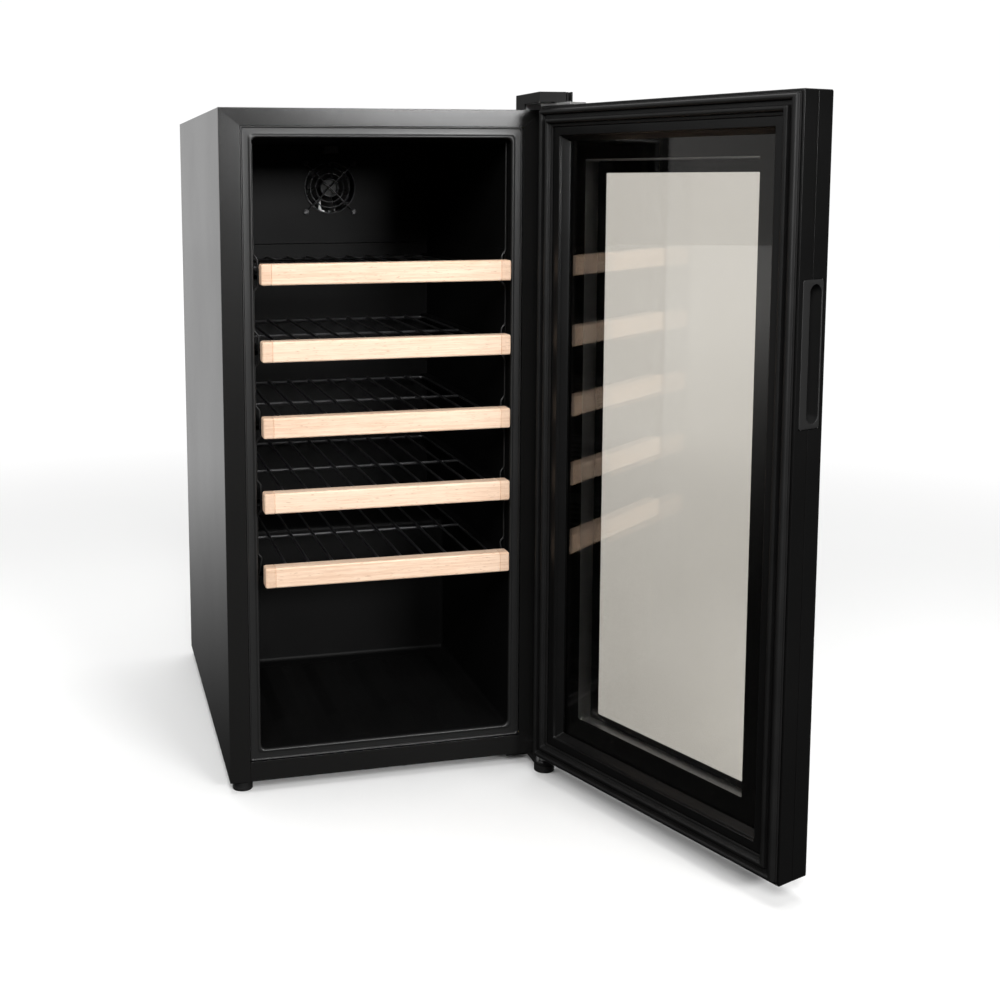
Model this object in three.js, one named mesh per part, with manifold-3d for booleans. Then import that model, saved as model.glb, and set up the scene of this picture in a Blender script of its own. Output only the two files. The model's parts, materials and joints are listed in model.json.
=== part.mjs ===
// A free-standing wine cooler with a glass door, five pull-out bottle shelves and a compressor.
// Millimetres, +Z up, the front faces -Y. The cabinet is modelled from its own front plane (y = 0),
// its middle (x = 0) and the floor (z = 0). The door stands open and the shelves are nearly home.
import * as THREE from 'three';
import { mergeVertices } from 'three/addons/utils/BufferGeometryUtils.js';
import Module from 'manifold-3d';

const wasm = await Module();
wasm.setup();

// ---- driving sizes: cabinet -------------------------------------------------
const cabinetWidth = 398;
const cabinetDepth = 525;
const bodyHeight = 822;
const footHeight = 14;
const sheetSteel = 1.2;
const fitGap = 0.3;
const flangeWidth = 25;
const topFlangeHeight = 20.5;
const rearFlangeWidth = 12;
const sillHeight = 25;
const sillReturn = 40;
const trimWidth = 14;
const trimSillHeight = 12;
const trimThickness = 3.5;
const trimInset = 1.5;

// ---- driving sizes: liner, insulation and rear compartment ------------------
const linerWall = 2.5;
const linerRim = 17;
const backInsulation = 43;
const stepInsulation = 28;
const compartmentDepth = 178;
const compartmentHeight = 204;
const evaporatorSpace = 78;
const panelSheet = 2.5;
const coverHeight = 144;
const airSlotCount = 7;
const airSlotLength = 26;
const airSlotHeight = 5;
const airSlotMargin = 15;
const airSlotRows = [18, 30];
const evaporatorSideGap = 35;
const evaporatorBelowSeam = 95;
const evaporatorTopGap = 22;
const evaporatorBackGap = 12;
const evaporatorPlate = 2;
const finThickness = 1.5;
const finDepth = 24;
const ventRows = 5;
const ventColumns = 7;
const ventSlotLength = 34;
const ventSlotHeight = 7;

// ---- driving sizes: circulation fan ----------------------------------------
const fanSide = 80;
const fanThickness = 25;
const fanBoreRadius = 37.5;
const fanScrewSpacing = 71.5;
const fanDrop = 61.5;
const fanOffset = 9;
const hubRadius = 15;
const bladeCount = 7;
const bladePitch = 35;
const guardWire = 1.8;
const guardRingCount = 4;
const guardInnerRadius = 13;
const guardEyeRadius = 4;
const guardLegTrim = 6;
const fanHoleRadius = 2;
const spokeWidth = 5;
const spokeThickness = 3;
const motorThickness = 4;
const rotorShorter = 8;
const rotorForward = 2;
const bladeTipGap = 1.5;
const bladeThickness = 1.6;
const bladeRoot = 4;
const lampWidth = 22;
const lampDepth = 14;
const lampHeight = 11;

// ---- driving sizes: shelves ------------------------------------------------
const shelfCount = 5;
const shelfAboveStep = 38;
const topShelfDrop = 147.8;
const boardHeight = 25;
const boardThickness = 20;
const boardSideClearance = 6;
const boardForward = 17.5;
const rackWire = 4;
const rackRise = 8;
const rackBackClearance = 15;
const rackLongWires = 9;
const rackCrossWires = 3;
const rackWireInset = 9;
const rackSideGap = 1;
const rackLongLift = 0.6;
const rackLongThinner = 0.8;
const rackLongSetback = 2;
const boardRound = 3;
const channelLip = 12;
const channelWall = 1.5;
const channelClearance = 0.5;
const channelStart = 20;
const panelAboveShelf = 12;
const panelOverSeam = 8;
const panelBelowChannel = 4;

// ---- driving sizes: door ----------------------------------------------------
const doorThickness = 42;
const gasketGap = 8;
const doorRise = 2.8;
const doorBottomGap = 9.5;
const doorOpenAngle = 110;
const hingeAxisOutset = 1;
const hingeAxisForward = 25;
const glassThickness = 4;
const innerGlassInset = 12;
const innerFrameDepth = 20;
const frameSideRail = 38;
const frameTopRail = 34;
const frameBottomRail = 34;
const frameChamfer = 6;
const glassSeat = 3;
const glassEdgeWall = 1.7;
const outerRailWidth = 56;
const spacerWidth = 9;
const spacerInset = 57;
const gasketInset = 3;
const gasketWidth = 22;
const gasketBase = 2.2;
const gasketLipInset = 3;

// ---- driving sizes: handle recess ------------------------------------------
const handleLength = 150.5;
const handleSlotLength = 140;
const handleCentre = 564;
const handlePlateWidth = 30.7;
const handleSlotWidth = 17;
const handleSlotMargin = 2.7;
const handleDepth = 26;
const handlePocket = 23;

// ---- driving sizes: hinges and feet ----------------------------------------
const pinRadius = 4;
const runningGap = 0.2;
const bushWall = 2;
const armThickness = 3;
const armReach = 50;
const armHalfWidth = 12;
const bracketThickness = 3;
const bracketPadDepth = 30;
const bracketEye = 7.5;
const bracketSideInset = 1;
const lowBracketWidth = 40;
const lowBracketThickness = 4;
const screwFromSide = 12;
const pinHeadOverhang = 2;
const pinHeadHeight = 3;
const pinCollarWidth = 3;
const hingeCoverWall = 2;
const hingeCoverHeight = 19;
const hingeCoverLeft = 23;
const hingeCoverRight = 10;
const hingeCoverFront = 51;
const hingeCoverBack = 36;
const coverEndWidth = 8;
const coverEndDepth = 10;
const coverPost = [1.8, 3.8];
const coverPostDepth = [3, 7];
const coverCheekStart = 5.8;
const screwHeadRadius = 4.5;
const screwHeadHeight = 2.6;
const screwShankRadius = 2.5;
const footRadius = 12.5;
const footInset = 17;
const hingeFootRadius = 13;
const rearFootFromBack = 90;
const rearFootInset = 15;
const footStudRadius = 4;
const footStud = 14;
const footSeat = 0.2;
const footSole = 1.5;
const footShoulder = 3;
const rearFootSmaller = 2;

// ---- driving sizes: rear sheets and power inlet -----------------------------
const rearSheetMargin = 2;
const ventSideMargin = 20;
const ventTopMargin = 30;
const ventUnusedHeight = 90;
const inletWidth = 48;
const inletHeight = 28;
const inletFromSide = 24;
const inletFromBottom = 16;
const inletDepth = 24;
const socketDepth = 20;
const socketSideRim = 11;
const socketEndRim = 4;
const bladeSpacing = 7;
const bladeWidth = 2;
const bladeHeight = 6;
const bladeSunk = 6;

// ---- driving sizes: refrigeration parts -------------------------------------
const compressorRadius = 58;
const compressorHeight = 128;
const compressorX = 70;
const grommetSpacing = 92;
const grommetRadius = 11;
const grommetHeight = 14;
const coilTube = 5;
const coilRuns = 6;
const coilPitch = 22;
const coilWidth = 110;
const finCount = 11;
const compressorFootMargin = 12;
const compressorFootSheet = 5;
const relayGap = 2;
const relayWidth = 30;
const relayDepth = 48;
const relayRange = [50, 112];
const drierTilt = -12;
const drierPlace = { left: 26, back: 120, up: 34 };
const coilPlace = { right: 91, back: 60, up: 48 };
const coilStraightShare = 0.78;
const trayFromSide = 26;
const trayFromFront = 12;
const trayWidth = 130;
const trayDepth = 96;
const trayHeight = 26;
const trayWall = 2;

// ---- worked-out places -----------------------------------------------------
const half = cabinetWidth / 2;
const bottomZ = footHeight;
const topZ = footHeight + bodyHeight;
const mouthHalf = half - flangeWidth;
const mouthTop = topZ - topFlangeHeight;
const sillTop = bottomZ + sillHeight;
const cavityHalf = mouthHalf - trimWidth;
const cavityFloor = sillTop + trimSillHeight;
const cavityCeiling = mouthTop - trimWidth;
const linerBack = cabinetDepth - backInsulation - linerWall;
const trimBack = trimInset + trimThickness;
const linerFront = trimBack + fitGap;
const compartmentFront = cabinetDepth - compartmentDepth - sheetSteel;
const compartmentTop = bottomZ + sheetSteel + compartmentHeight;
const stepY = compartmentFront - stepInsulation - linerWall;
const stepTop = compartmentTop + stepInsulation + linerWall;
const panelY = linerBack - evaporatorSpace;
const seamZ = cavityCeiling - coverHeight;
const fanZ = cavityCeiling - fanDrop;
const lowestShelfTop = stepTop + shelfAboveStep;
const shelfPitch = (cavityCeiling - topShelfDrop - lowestShelfTop) / (shelfCount - 1);
const boardHalf = cavityHalf - boardSideClearance;
const rackBack = panelY - rackBackClearance;
const doorBack = -gasketGap;
const doorFront = doorBack - doorThickness;
const doorTop = topZ + doorRise;
const doorBottom = bottomZ + doorBottomGap;
const hingeX = half + hingeAxisOutset;
const hingeY = -hingeAxisForward;
const innerGlassFace = doorBack - innerGlassInset;
const frameSplit = doorBack - innerFrameDepth;
const bushOuter = pinRadius + runningGap + bushWall;

// ---- finishes ---------------------------------------------------------------
const finish = (color, roughness, metalness = 0) => ({ color, roughness, metalness });
const finishes = {
  caseSteel: finish(0x2b2b2b, 0.35, 0.6),
  blackPlastic: finish(0x141414, 0.5),
  linerPlastic: finish(0x101010, 0.45),
  zincSteel: finish(0x9a9c9e, 0.45, 0.9),
  foam: finish(0xe0cf9a, 0.9),
  beech: finish(0xe8c9a0, 0.55),
  wire: finish(0x3a3a3c, 0.3, 0.9),
  glass: { color: 0xa8a39a, roughness: 0.05, metalness: 0, transparent: true, opacity: 0.35 },
  rubber: finish(0x161616, 0.8),
  aluminium: finish(0xb5b7b8, 0.4, 0.9),
  copper: finish(0xb06a3c, 0.35, 0.9),
  lamp: finish(0xeeeeea, 0.3),
};

// ---- making and joining solids ----------------------------------------------
function solid(geometry) {
  const bare = geometry.clone();
  bare.deleteAttribute('normal');
  bare.deleteAttribute('uv');
  const merged = mergeVertices(bare, 1e-4);
  const vertProperties = new Float32Array(merged.attributes.position.array);
  const triVerts = new Uint32Array(merged.index.array);
  return new wasm.Manifold(new wasm.Mesh({ numProp: 3, vertProperties, triVerts }));
}

function geometryOf(body) {
  const mesh = body.getMesh();
  const geometry = new THREE.BufferGeometry();
  geometry.setAttribute('position', new THREE.BufferAttribute(mesh.vertProperties, 3));
  geometry.setIndex(new THREE.BufferAttribute(mesh.triVerts, 1));
  geometry.computeVertexNormals();
  return geometry;
}

function join(bodies) {
  return bodies.reduce((whole, next) => whole.add(next));
}

function cut(body, tools) {
  return tools.reduce((rest, tool) => rest.subtract(tool), body);
}

// A box between two limits on each axis.
function block([x0, x1], [y0, y1], [z0, z1]) {
  const geometry = new THREE.BoxGeometry(x1 - x0, y1 - y0, z1 - z0);
  geometry.translate((x0 + x1) / 2, (y0 + y1) / 2, (z0 + z1) / 2);
  return solid(geometry);
}

// A round bar along 'x', 'y' or 'z', between two places on that axis.
function bar(axis, radius, [from, to], [a, b], sides = 24) {
  const geometry = new THREE.CylinderGeometry(radius, radius, to - from, sides);
  const middle = (from + to) / 2;
  if (axis === 'x') geometry.rotateZ(-Math.PI / 2).translate(middle, a, b);
  if (axis === 'y') geometry.translate(a, middle, b);
  if (axis === 'z') geometry.rotateX(Math.PI / 2).translate(a, b, middle);
  return solid(geometry);
}

// A turned piece about a vertical line: the profile holds [radius, height] pairs.
function turned(profile, sides = 24) {
  const points = profile.map(([radius, height]) => new THREE.Vector2(radius, height));
  const geometry = new THREE.LatheGeometry(points, sides);
  return geometry.rotateX(Math.PI / 2);
}

// An outline in the Y-Z plane, drawn out along X.
function sideProfile(outline, [x0, x1]) {
  const shape = new THREE.Shape(outline.map(([y, z]) => new THREE.Vector2(y, z)));
  const geometry = new THREE.ExtrudeGeometry(shape, { depth: x1 - x0, bevelEnabled: false });
  const alongX = new THREE.Matrix4().makeBasis(
    new THREE.Vector3(0, 1, 0), new THREE.Vector3(0, 0, 1), new THREE.Vector3(1, 0, 0));
  geometry.applyMatrix4(alongX).translate(x0, 0, 0);
  return solid(geometry);
}

// An outline in the X-Y plane, drawn out upwards.
function plan(outline, [z0, z1]) {
  const shape = new THREE.Shape(outline.map(([x, y]) => new THREE.Vector2(x, y)));
  const geometry = new THREE.ExtrudeGeometry(shape, { depth: z1 - z0, bevelEnabled: false });
  return solid(geometry.translate(0, 0, z0));
}

// A rectangular ring facing the front: outer and inner are [half width, low z, high z].
function ring(outer, inner, [y0, y1]) {
  const [outerHalf, outerLow, outerHigh] = outer;
  const [innerHalf, innerLow, innerHigh] = inner;
  const whole = block([-outerHalf, outerHalf], [y0, y1], [outerLow, outerHigh]);
  const hole = block([-innerHalf, innerHalf], [y0 - 1, y1 + 1], [innerLow, innerHigh]);
  return whole.subtract(hole);
}

// A four-sided taper: as wide as `wide` at yWide and drawn in by `inset` all round at yNarrow.
function taper([halfWidth, low, high], inset, yWide, yNarrow) {
  const acrossX = plan([
    [-halfWidth, yWide], [-halfWidth + inset, yNarrow],
    [halfWidth - inset, yNarrow], [halfWidth, yWide]], [low - 1, high + 1]);
  const acrossZ = sideProfile([
    [yWide, low], [yWide, high], [yNarrow, high - inset], [yNarrow, low + inset],
  ], [-halfWidth - 1, halfWidth + 1]);
  return acrossX.intersect(acrossZ);
}

function addPart(group, name, shape, look) {
  const geometry = shape.isBufferGeometry ? shape : geometryOf(shape);
  const mesh = new THREE.Mesh(geometry, new THREE.MeshStandardMaterial(look));
  mesh.name = name;
  group.add(mesh);
  return mesh;
}

// ---- cabinet shell ----------------------------------------------------------
const wineCooler = new THREE.Group();
const cabinet = new THREE.Group();
wineCooler.add(cabinet);
const shellBack = cabinetDepth - sheetSteel - fitGap;

function outerCase() {
  const outside = block([-half, half], [0, shellBack], [bottomZ, topZ]);
  const insideHalf = half - sheetSteel;
  const inside = block([-insideHalf, insideHalf], [sheetSteel, shellBack - sheetSteel],
    [bottomZ - 1, topZ - sheetSteel]);
  const mouth = block([-mouthHalf, mouthHalf], [-1, sheetSteel + 1], [bottomZ - 1, mouthTop]);
  const rearHalf = half - rearFlangeWidth;
  const rear = block([-rearHalf, rearHalf], [shellBack - sheetSteel - 1, shellBack + 1],
    [bottomZ - 1, topZ - rearFlangeWidth]);
  return cut(outside, [inside, mouth, rear]);
}

function frontSill() {
  const span = [-mouthHalf + fitGap, mouthHalf - fitGap];
  const face = block(span, [0, sheetSteel], [bottomZ, sillTop]);
  const wide = half - sheetSteel - fitGap;
  const under = block(span, [0, sillReturn], [bottomZ, bottomZ + sheetSteel]);
  const ends = block([-wide, wide], [sheetSteel + fitGap, sillReturn], [bottomZ, bottomZ + sheetSteel]);
  const studHole = bar('z', footStudRadius + fitGap, [bottomZ - 1, bottomZ + 5],
    [-half + footInset, footInset]);
  return join([face, under, ends]).subtract(studHole);
}

function basePlate() {
  const inside = half - sheetSteel - fitGap;
  const back = shellBack - sheetSteel - fitGap;
  return block([-inside, inside], [sillReturn + fitGap, back], [bottomZ, bottomZ + sheetSteel]);
}

function mouthTrim() {
  const outer = [mouthHalf - fitGap, sillTop + fitGap, mouthTop - fitGap];
  const inner = [cavityHalf, cavityFloor, cavityCeiling];
  return ring(outer, inner, [trimInset, trimBack]);
}

function linerOutline(grow, front) {
  return [
    [front, cavityFloor - grow], [stepY + grow, cavityFloor - grow], [stepY + grow, stepTop - grow],
    [linerBack + grow, stepTop - grow], [linerBack + grow, cavityCeiling + grow],
    [front, cavityCeiling + grow],
  ];
}

function linerBody(grow, front) {
  return sideProfile(linerOutline(grow, front), [-cavityHalf - grow, cavityHalf + grow]);
}

function innerLiner() {
  const rim = block([-cavityHalf - linerRim, cavityHalf + linerRim], [linerFront, linerFront + linerWall],
    [cavityFloor - trimSillHeight + fitGap, cavityCeiling + linerRim]);
  return rim.add(linerBody(linerWall, linerFront)).subtract(linerBody(0, linerFront - 1));
}

function insulationFoam() {
  const inside = half - sheetSteel - fitGap;
  const front = linerFront + linerWall + fitGap;
  const back = shellBack - sheetSteel - fitGap;
  const foam = block([-inside, inside], [front, back],
    [sillTop + fitGap, topZ - sheetSteel - fitGap]);
  const liner = linerBody(linerWall + fitGap, front - 1);
  const compartment = block([-half, half], [compartmentFront, back + 1], [0, compartmentTop]);
  return cut(foam, [liner, compartment]);
}

function backPanel() {
  return block([-half + rearSheetMargin, half - rearSheetMargin],
    [cabinetDepth - sheetSteel, cabinetDepth],
    [compartmentTop + fitGap, topZ - rearSheetMargin]);
}

const inletLeft = -half + inletFromSide;
const inletLow = bottomZ + inletFromBottom;

function compartmentCover() {
  const plate = block([-half + rearSheetMargin, half - rearSheetMargin],
    [cabinetDepth - sheetSteel, cabinetDepth],
    [bottomZ + rearSheetMargin, compartmentTop]);
  const slots = [];
  const columnPitch = (cabinetWidth - 2 * ventSideMargin) / ventColumns;
  const rowPitch = (compartmentHeight - ventUnusedHeight) / ventRows;
  for (let row = 0; row < ventRows; row += 1) {
    for (let column = 0; column < ventColumns; column += 1) {
      const x = (column - (ventColumns - 1) / 2) * columnPitch;
      const z = compartmentTop - ventTopMargin - row * rowPitch;
      slots.push(block([x - ventSlotLength / 2, x + ventSlotLength / 2],
        [cabinetDepth - 5, cabinetDepth + 1], [z - ventSlotHeight, z]));
    }
  }
  const inletHole = block([inletLeft - fitGap, inletLeft + inletWidth + fitGap],
    [cabinetDepth - 5, cabinetDepth + 1], [inletLow - fitGap, inletLow + inletHeight + fitGap]);
  return cut(plate, [...slots, inletHole]);
}

function powerInlet() {
  const middleX = inletLeft + inletWidth / 2;
  const middleZ = inletLow + inletHeight / 2;
  const face = block([inletLeft, inletLeft + inletWidth], [cabinetDepth - inletDepth, cabinetDepth],
    [inletLow, inletLow + inletHeight]);
  const socket = block([inletLeft + socketSideRim, inletLeft + inletWidth - socketSideRim],
    [cabinetDepth - socketDepth, cabinetDepth + 1],
    [inletLow + socketEndRim, inletLow + inletHeight - socketEndRim]);
  const blades = [-bladeSpacing, 0, bladeSpacing].map((x) => block(
    [middleX + x - bladeWidth / 2, middleX + x + bladeWidth / 2],
    [cabinetDepth - socketDepth - 1, cabinetDepth - bladeSunk],
    [middleZ - bladeHeight / 2, middleZ + bladeHeight / 2]));
  return join([face.subtract(socket), ...blades]);
}

addPart(cabinet, 'outer_case', outerCase(), finishes.caseSteel);
addPart(cabinet, 'front_sill', frontSill(), finishes.caseSteel);
addPart(cabinet, 'base_plate', basePlate(), finishes.zincSteel);
addPart(cabinet, 'mouth_trim', mouthTrim(), finishes.blackPlastic);
addPart(cabinet, 'inner_liner', innerLiner(), finishes.linerPlastic);
addPart(cabinet, 'insulation_foam', insulationFoam(), finishes.foam);
addPart(cabinet, 'back_panel', backPanel(), finishes.caseSteel);
addPart(cabinet, 'compartment_cover', compartmentCover(), finishes.caseSteel);
addPart(cabinet, 'power_inlet', powerInlet(), finishes.blackPlastic);

// ---- air duct, evaporator and fan ------------------------------------------
const panelHalf = cavityHalf - fitGap;

function evaporatorCover() {
  const plate = block([-panelHalf, panelHalf], [panelY, panelY + panelSheet],
    [seamZ + fitGap, cavityCeiling - fitGap]);
  return plate.subtract(bar('y', fanBoreRadius, [panelY - 5, panelY + 9], [fanOffset, fanZ], 36));
}

function rearDuctPanel() {
  const plate = block([-panelHalf, panelHalf], [panelY, panelY + panelSheet],
    [stepTop + fitGap, seamZ]);
  const pitch = (2 * (panelHalf - airSlotMargin)) / airSlotCount;
  const slots = [];
  for (let i = 0; i < airSlotCount; i += 1) {
    const x = (i - (airSlotCount - 1) / 2) * pitch;
    for (const rise of airSlotRows) {
      const z = stepTop + rise;
      slots.push(block([x - airSlotLength / 2, x + airSlotLength / 2],
        [panelY - 5, panelY + 9], [z, z + airSlotHeight]));
    }
  }
  return cut(plate, slots);
}

function evaporator() {
  const width = cavityHalf - evaporatorSideGap;
  const low = seamZ - evaporatorBelowSeam;
  const high = cavityCeiling - evaporatorTopGap;
  const back = linerBack - evaporatorBackGap;
  const plate = block([-width, width], [back - evaporatorPlate, back], [low, high]);
  const pitch = (2 * width - finThickness) / (finCount - 1);
  const fins = [];
  for (let i = 0; i < finCount; i += 1) {
    const x = -width + i * pitch;
    fins.push(block([x, x + finThickness], [back - finDepth, back - 1], [low, high]));
  }
  return join([plate, ...fins]);
}

const fanFront = panelY + panelSheet + fitGap;
const fanBack = fanFront + fanThickness;

function fanFrame() {
  const side = fanSide / 2;
  const box = block([fanOffset - side, fanOffset + side], [fanFront, fanBack], [fanZ - side, fanZ + side]);
  const bore = bar('y', fanBoreRadius, [fanFront - 1, fanBack + 1], [fanOffset, fanZ], 36);
  const corner = fanScrewSpacing / 2;
  const screwHoles = [];
  for (const dx of [-corner, corner]) {
    for (const dz of [-corner, corner]) {
      screwHoles.push(bar('y', fanHoleRadius, [fanFront - 1, fanBack + 1],
        [fanOffset + dx, fanZ + dz], 12));
    }
  }
  const motor = bar('y', hubRadius, [fanBack - motorThickness, fanBack], [fanOffset, fanZ]);
  const spokes = [
    block([fanOffset - side + 1, fanOffset + side - 1], [fanBack - spokeThickness, fanBack],
      [fanZ - spokeWidth / 2, fanZ + spokeWidth / 2]),
    block([fanOffset - spokeWidth / 2, fanOffset + spokeWidth / 2], [fanBack - spokeThickness, fanBack],
      [fanZ - side + 1, fanZ + side - 1]),
  ];
  return join([cut(box, [bore, ...screwHoles]), motor, ...spokes]);
}

function fanRotor() {
  const depth = fanThickness - rotorShorter;
  const parts = [bar('y', hubRadius, [-depth / 2, depth / 2], [0, 0])];
  const reach = fanBoreRadius - bladeTipGap;
  for (let i = 0; i < bladeCount; i += 1) {
    const blade = new THREE.BoxGeometry(reach - hubRadius + bladeRoot, bladeThickness, depth - 1);
    blade.rotateX(THREE.MathUtils.degToRad(90 - bladePitch));
    blade.translate((reach + hubRadius - bladeRoot) / 2, 0, 0);
    blade.rotateY((i * 2 * Math.PI) / bladeCount);
    parts.push(solid(blade));
  }
  return join(parts);
}

// Flat rings and a cross of two bars, with an eye at each of the four screws.
function fanGuard() {
  const back = panelY - fitGap;
  const front = back - guardWire;
  const ringPitch = (fanBoreRadius - guardInnerRadius) / (guardRingCount - 1);
  const parts = [];
  for (let i = 0; i < guardRingCount; i += 1) {
    const radius = guardInnerRadius + i * ringPitch;
    const disc = bar('y', radius + guardWire / 2, [front, back], [fanOffset, fanZ], 22);
    parts.push(disc.subtract(
      bar('y', radius - guardWire / 2, [front - 1, back + 1], [fanOffset, fanZ], 22)));
  }
  const reach = fanScrewSpacing * Math.SQRT2;
  for (const turn of [-1, 1]) {
    const leg = new THREE.BoxGeometry(reach - guardLegTrim, guardWire, guardWire);
    leg.rotateY((turn * Math.PI) / 4);
    leg.translate(fanOffset, (front + back) / 2, fanZ);
    parts.push(solid(leg));
  }
  const corner = fanScrewSpacing / 2;
  for (const dx of [-corner, corner]) {
    for (const dz of [-corner, corner]) {
      const place = [fanOffset + dx, fanZ + dz];
      parts.push(bar('y', guardEyeRadius, [front, back], place, 10));
    }
  }
  return join(parts);
}

function interiorLamp() {
  return block([fanOffset - lampWidth / 2, fanOffset + lampWidth / 2],
    [panelY - lampDepth, panelY - fitGap], [cavityCeiling - lampHeight, cavityCeiling - fitGap]);
}

addPart(cabinet, 'evaporator_cover', evaporatorCover(), finishes.linerPlastic);
addPart(cabinet, 'rear_duct_panel', rearDuctPanel(), finishes.linerPlastic);
addPart(cabinet, 'evaporator', evaporator(), finishes.aluminium);
addPart(cabinet, 'fan_frame', fanFrame(), finishes.blackPlastic);
addPart(cabinet, 'fan_guard', fanGuard(), finishes.wire);
addPart(cabinet, 'interior_lamp', interiorLamp(), finishes.lamp);
const rotor = addPart(cabinet, 'fan_rotor', fanRotor(), finishes.blackPlastic);
rotor.position.set(fanOffset, fanFront + fanThickness / 2 - rotorForward, fanZ);

// ---- shelf channels and shelves ---------------------------------------------
const rackHalf = boardHalf - rackWire - rackSideGap;
const shelfTops = Array.from({ length: shelfCount }, (_, i) => lowestShelfTop + i * shelfPitch);

// A side panel with one open channel for each shelf. `side` is -1 on the left and 1 on the right.
function shelfPanel(side) {
  const outer = cavityHalf - fitGap;
  const back = panelY - fitGap;
  const across = (a, b) => (side < 0 ? [-a, -b] : [b, a]);
  const wireBottom = shelfTops[0] - boardHeight + rackRise - rackWire / 2;
  const low = Math.max(stepTop + fitGap, wireBottom - channelClearance - channelWall - panelBelowChannel);
  // The panel reaches past the seam, so that it backs onto the evaporator cover.
  const high = Math.max(shelfTops[shelfCount - 1] + panelAboveShelf, seamZ + panelOverSeam);
  const parts = [block(across(outer, outer - channelWall), [channelStart, back], [low, high])];
  for (const top of shelfTops) {
    const wire = top - boardHeight + rackRise;
    const gap = rackWire / 2 + channelClearance;
    for (const z of [wire - gap - channelWall, wire + gap]) {
      parts.push(block(across(outer, outer - channelLip), [channelStart, back], [z, z + channelWall]));
    }
  }
  return join(parts);
}

addPart(cabinet, 'left_shelf_panel', shelfPanel(-1), finishes.linerPlastic);
addPart(cabinet, 'right_shelf_panel', shelfPanel(1), finishes.linerPlastic);

// Each shelf is modelled from the middle of its front face, at the top edge of its board.
function shelfBoard() {
  const shape = new THREE.Shape();
  const round = boardRound;
  const high = boardHeight / 2;
  shape.moveTo(-boardHalf + round, -high);
  shape.lineTo(boardHalf - round, -high);
  shape.absarc(boardHalf - round, -high + round, round, -Math.PI / 2, 0);
  shape.absarc(boardHalf - round, high - round, round, 0, Math.PI / 2);
  shape.absarc(-boardHalf + round, high - round, round, Math.PI / 2, Math.PI);
  shape.absarc(-boardHalf + round, -high + round, round, Math.PI, 1.5 * Math.PI);
  const geometry = new THREE.ExtrudeGeometry(shape,
    { depth: boardThickness, bevelEnabled: false, curveSegments: 3 });
  geometry.rotateX(Math.PI / 2).translate(0, boardThickness, -high);
  return solid(geometry);
}

function shelfRack() {
  const front = boardThickness + fitGap;
  const back = rackBack + boardForward;
  const level = -boardHeight + rackRise;
  const radius = rackWire / 2;
  const lift = rackWire * rackLongLift;
  const thin = radius * rackLongThinner;
  const parts = [];
  for (const x of [-rackHalf, rackHalf]) {
    parts.push(block([x - radius, x + radius], [front, back], [level - radius, level + radius]));
  }
  const crossPitch = (back - front - 2 * rackWireInset) / (rackCrossWires - 1);
  for (let i = 0; i < rackCrossWires; i += 1) {
    const y = front + rackWireInset + i * crossPitch;
    parts.push(block([-rackHalf, rackHalf], [y - radius, y + radius], [level - radius, level + radius]));
  }
  const longPitch = (2 * rackHalf) / (rackLongWires + 1);
  for (let i = 1; i <= rackLongWires; i += 1) {
    const x = -rackHalf + i * longPitch;
    parts.push(block([x - thin, x + thin], [front + rackLongSetback, back],
      [level - radius + lift, level + thin + lift]));
  }
  return join(parts);
}

shelfTops.forEach((top, index) => {
  const shelf = new THREE.Group();
  shelf.position.set(0, -boardForward, top);
  const number = shelfCount - index;
  addPart(shelf, `shelf_${number}_front`, shelfBoard(), finishes.beech);
  addPart(shelf, `shelf_${number}_rack`, shelfRack(), finishes.wire);
  wineCooler.add(shelf);
});

// ---- rear compartment -------------------------------------------------------
const floorZ = bottomZ + sheetSteel + fitGap;
const compressorY = compartmentFront + compartmentDepth / 2;

function compressor() {
  const foot = floorZ + grommetHeight + fitGap;
  const low = foot + 4;
  const radius = compressorRadius;
  const high = low + compressorHeight;
  const shell = solid(turned([
    [0, low], [radius * 0.55, low + 2], [radius * 0.9, low + 14], [radius, low + 32],
    [radius, high - 42], [radius * 0.92, high - 20], [radius * 0.6, high - 4], [0, high],
  ], 32));
  const reach = grommetSpacing / 2 + compressorFootMargin;
  const plate = block([-reach, reach], [-reach, reach], [foot, foot + compressorFootSheet]);
  return shell.add(plate);
}

const compressorMesh = addPart(cabinet, 'compressor', compressor(), finishes.blackPlastic);
compressorMesh.position.set(compressorX, compressorY, 0);

[[-1, -1], [1, -1], [-1, 1], [1, 1]].forEach(([dx, dy], index) => {
  const profile = [[0, 0], [grommetRadius, 0], [grommetRadius, 4], [grommetRadius * 0.75, 6],
    [grommetRadius * 0.75, grommetHeight - 3], [grommetRadius, grommetHeight - 2],
    [grommetRadius, grommetHeight], [0, grommetHeight]];
  const grommet = addPart(cabinet, `compressor_grommet_${index + 1}`, solid(turned(profile, 16)),
    finishes.rubber);
  grommet.position.set(compressorX + (dx * grommetSpacing) / 2,
    compressorY + (dy * grommetSpacing) / 2, floorZ);
});

function startRelayBox() {
  const left = compressorX + compressorRadius + relayGap;
  return block([left, left + relayWidth], [compressorY - relayDepth / 2, compressorY + relayDepth / 2],
    relayRange.map((z) => floorZ + z));
}

function filterDrier() {
  const geometry = turned([[0, 0], [3, 4], [3, 14], [9, 22], [9, 92], [3, 100], [3, 112], [0, 116]], 16);
  return solid(geometry.rotateX(THREE.MathUtils.degToRad(drierTilt)));
}

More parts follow.
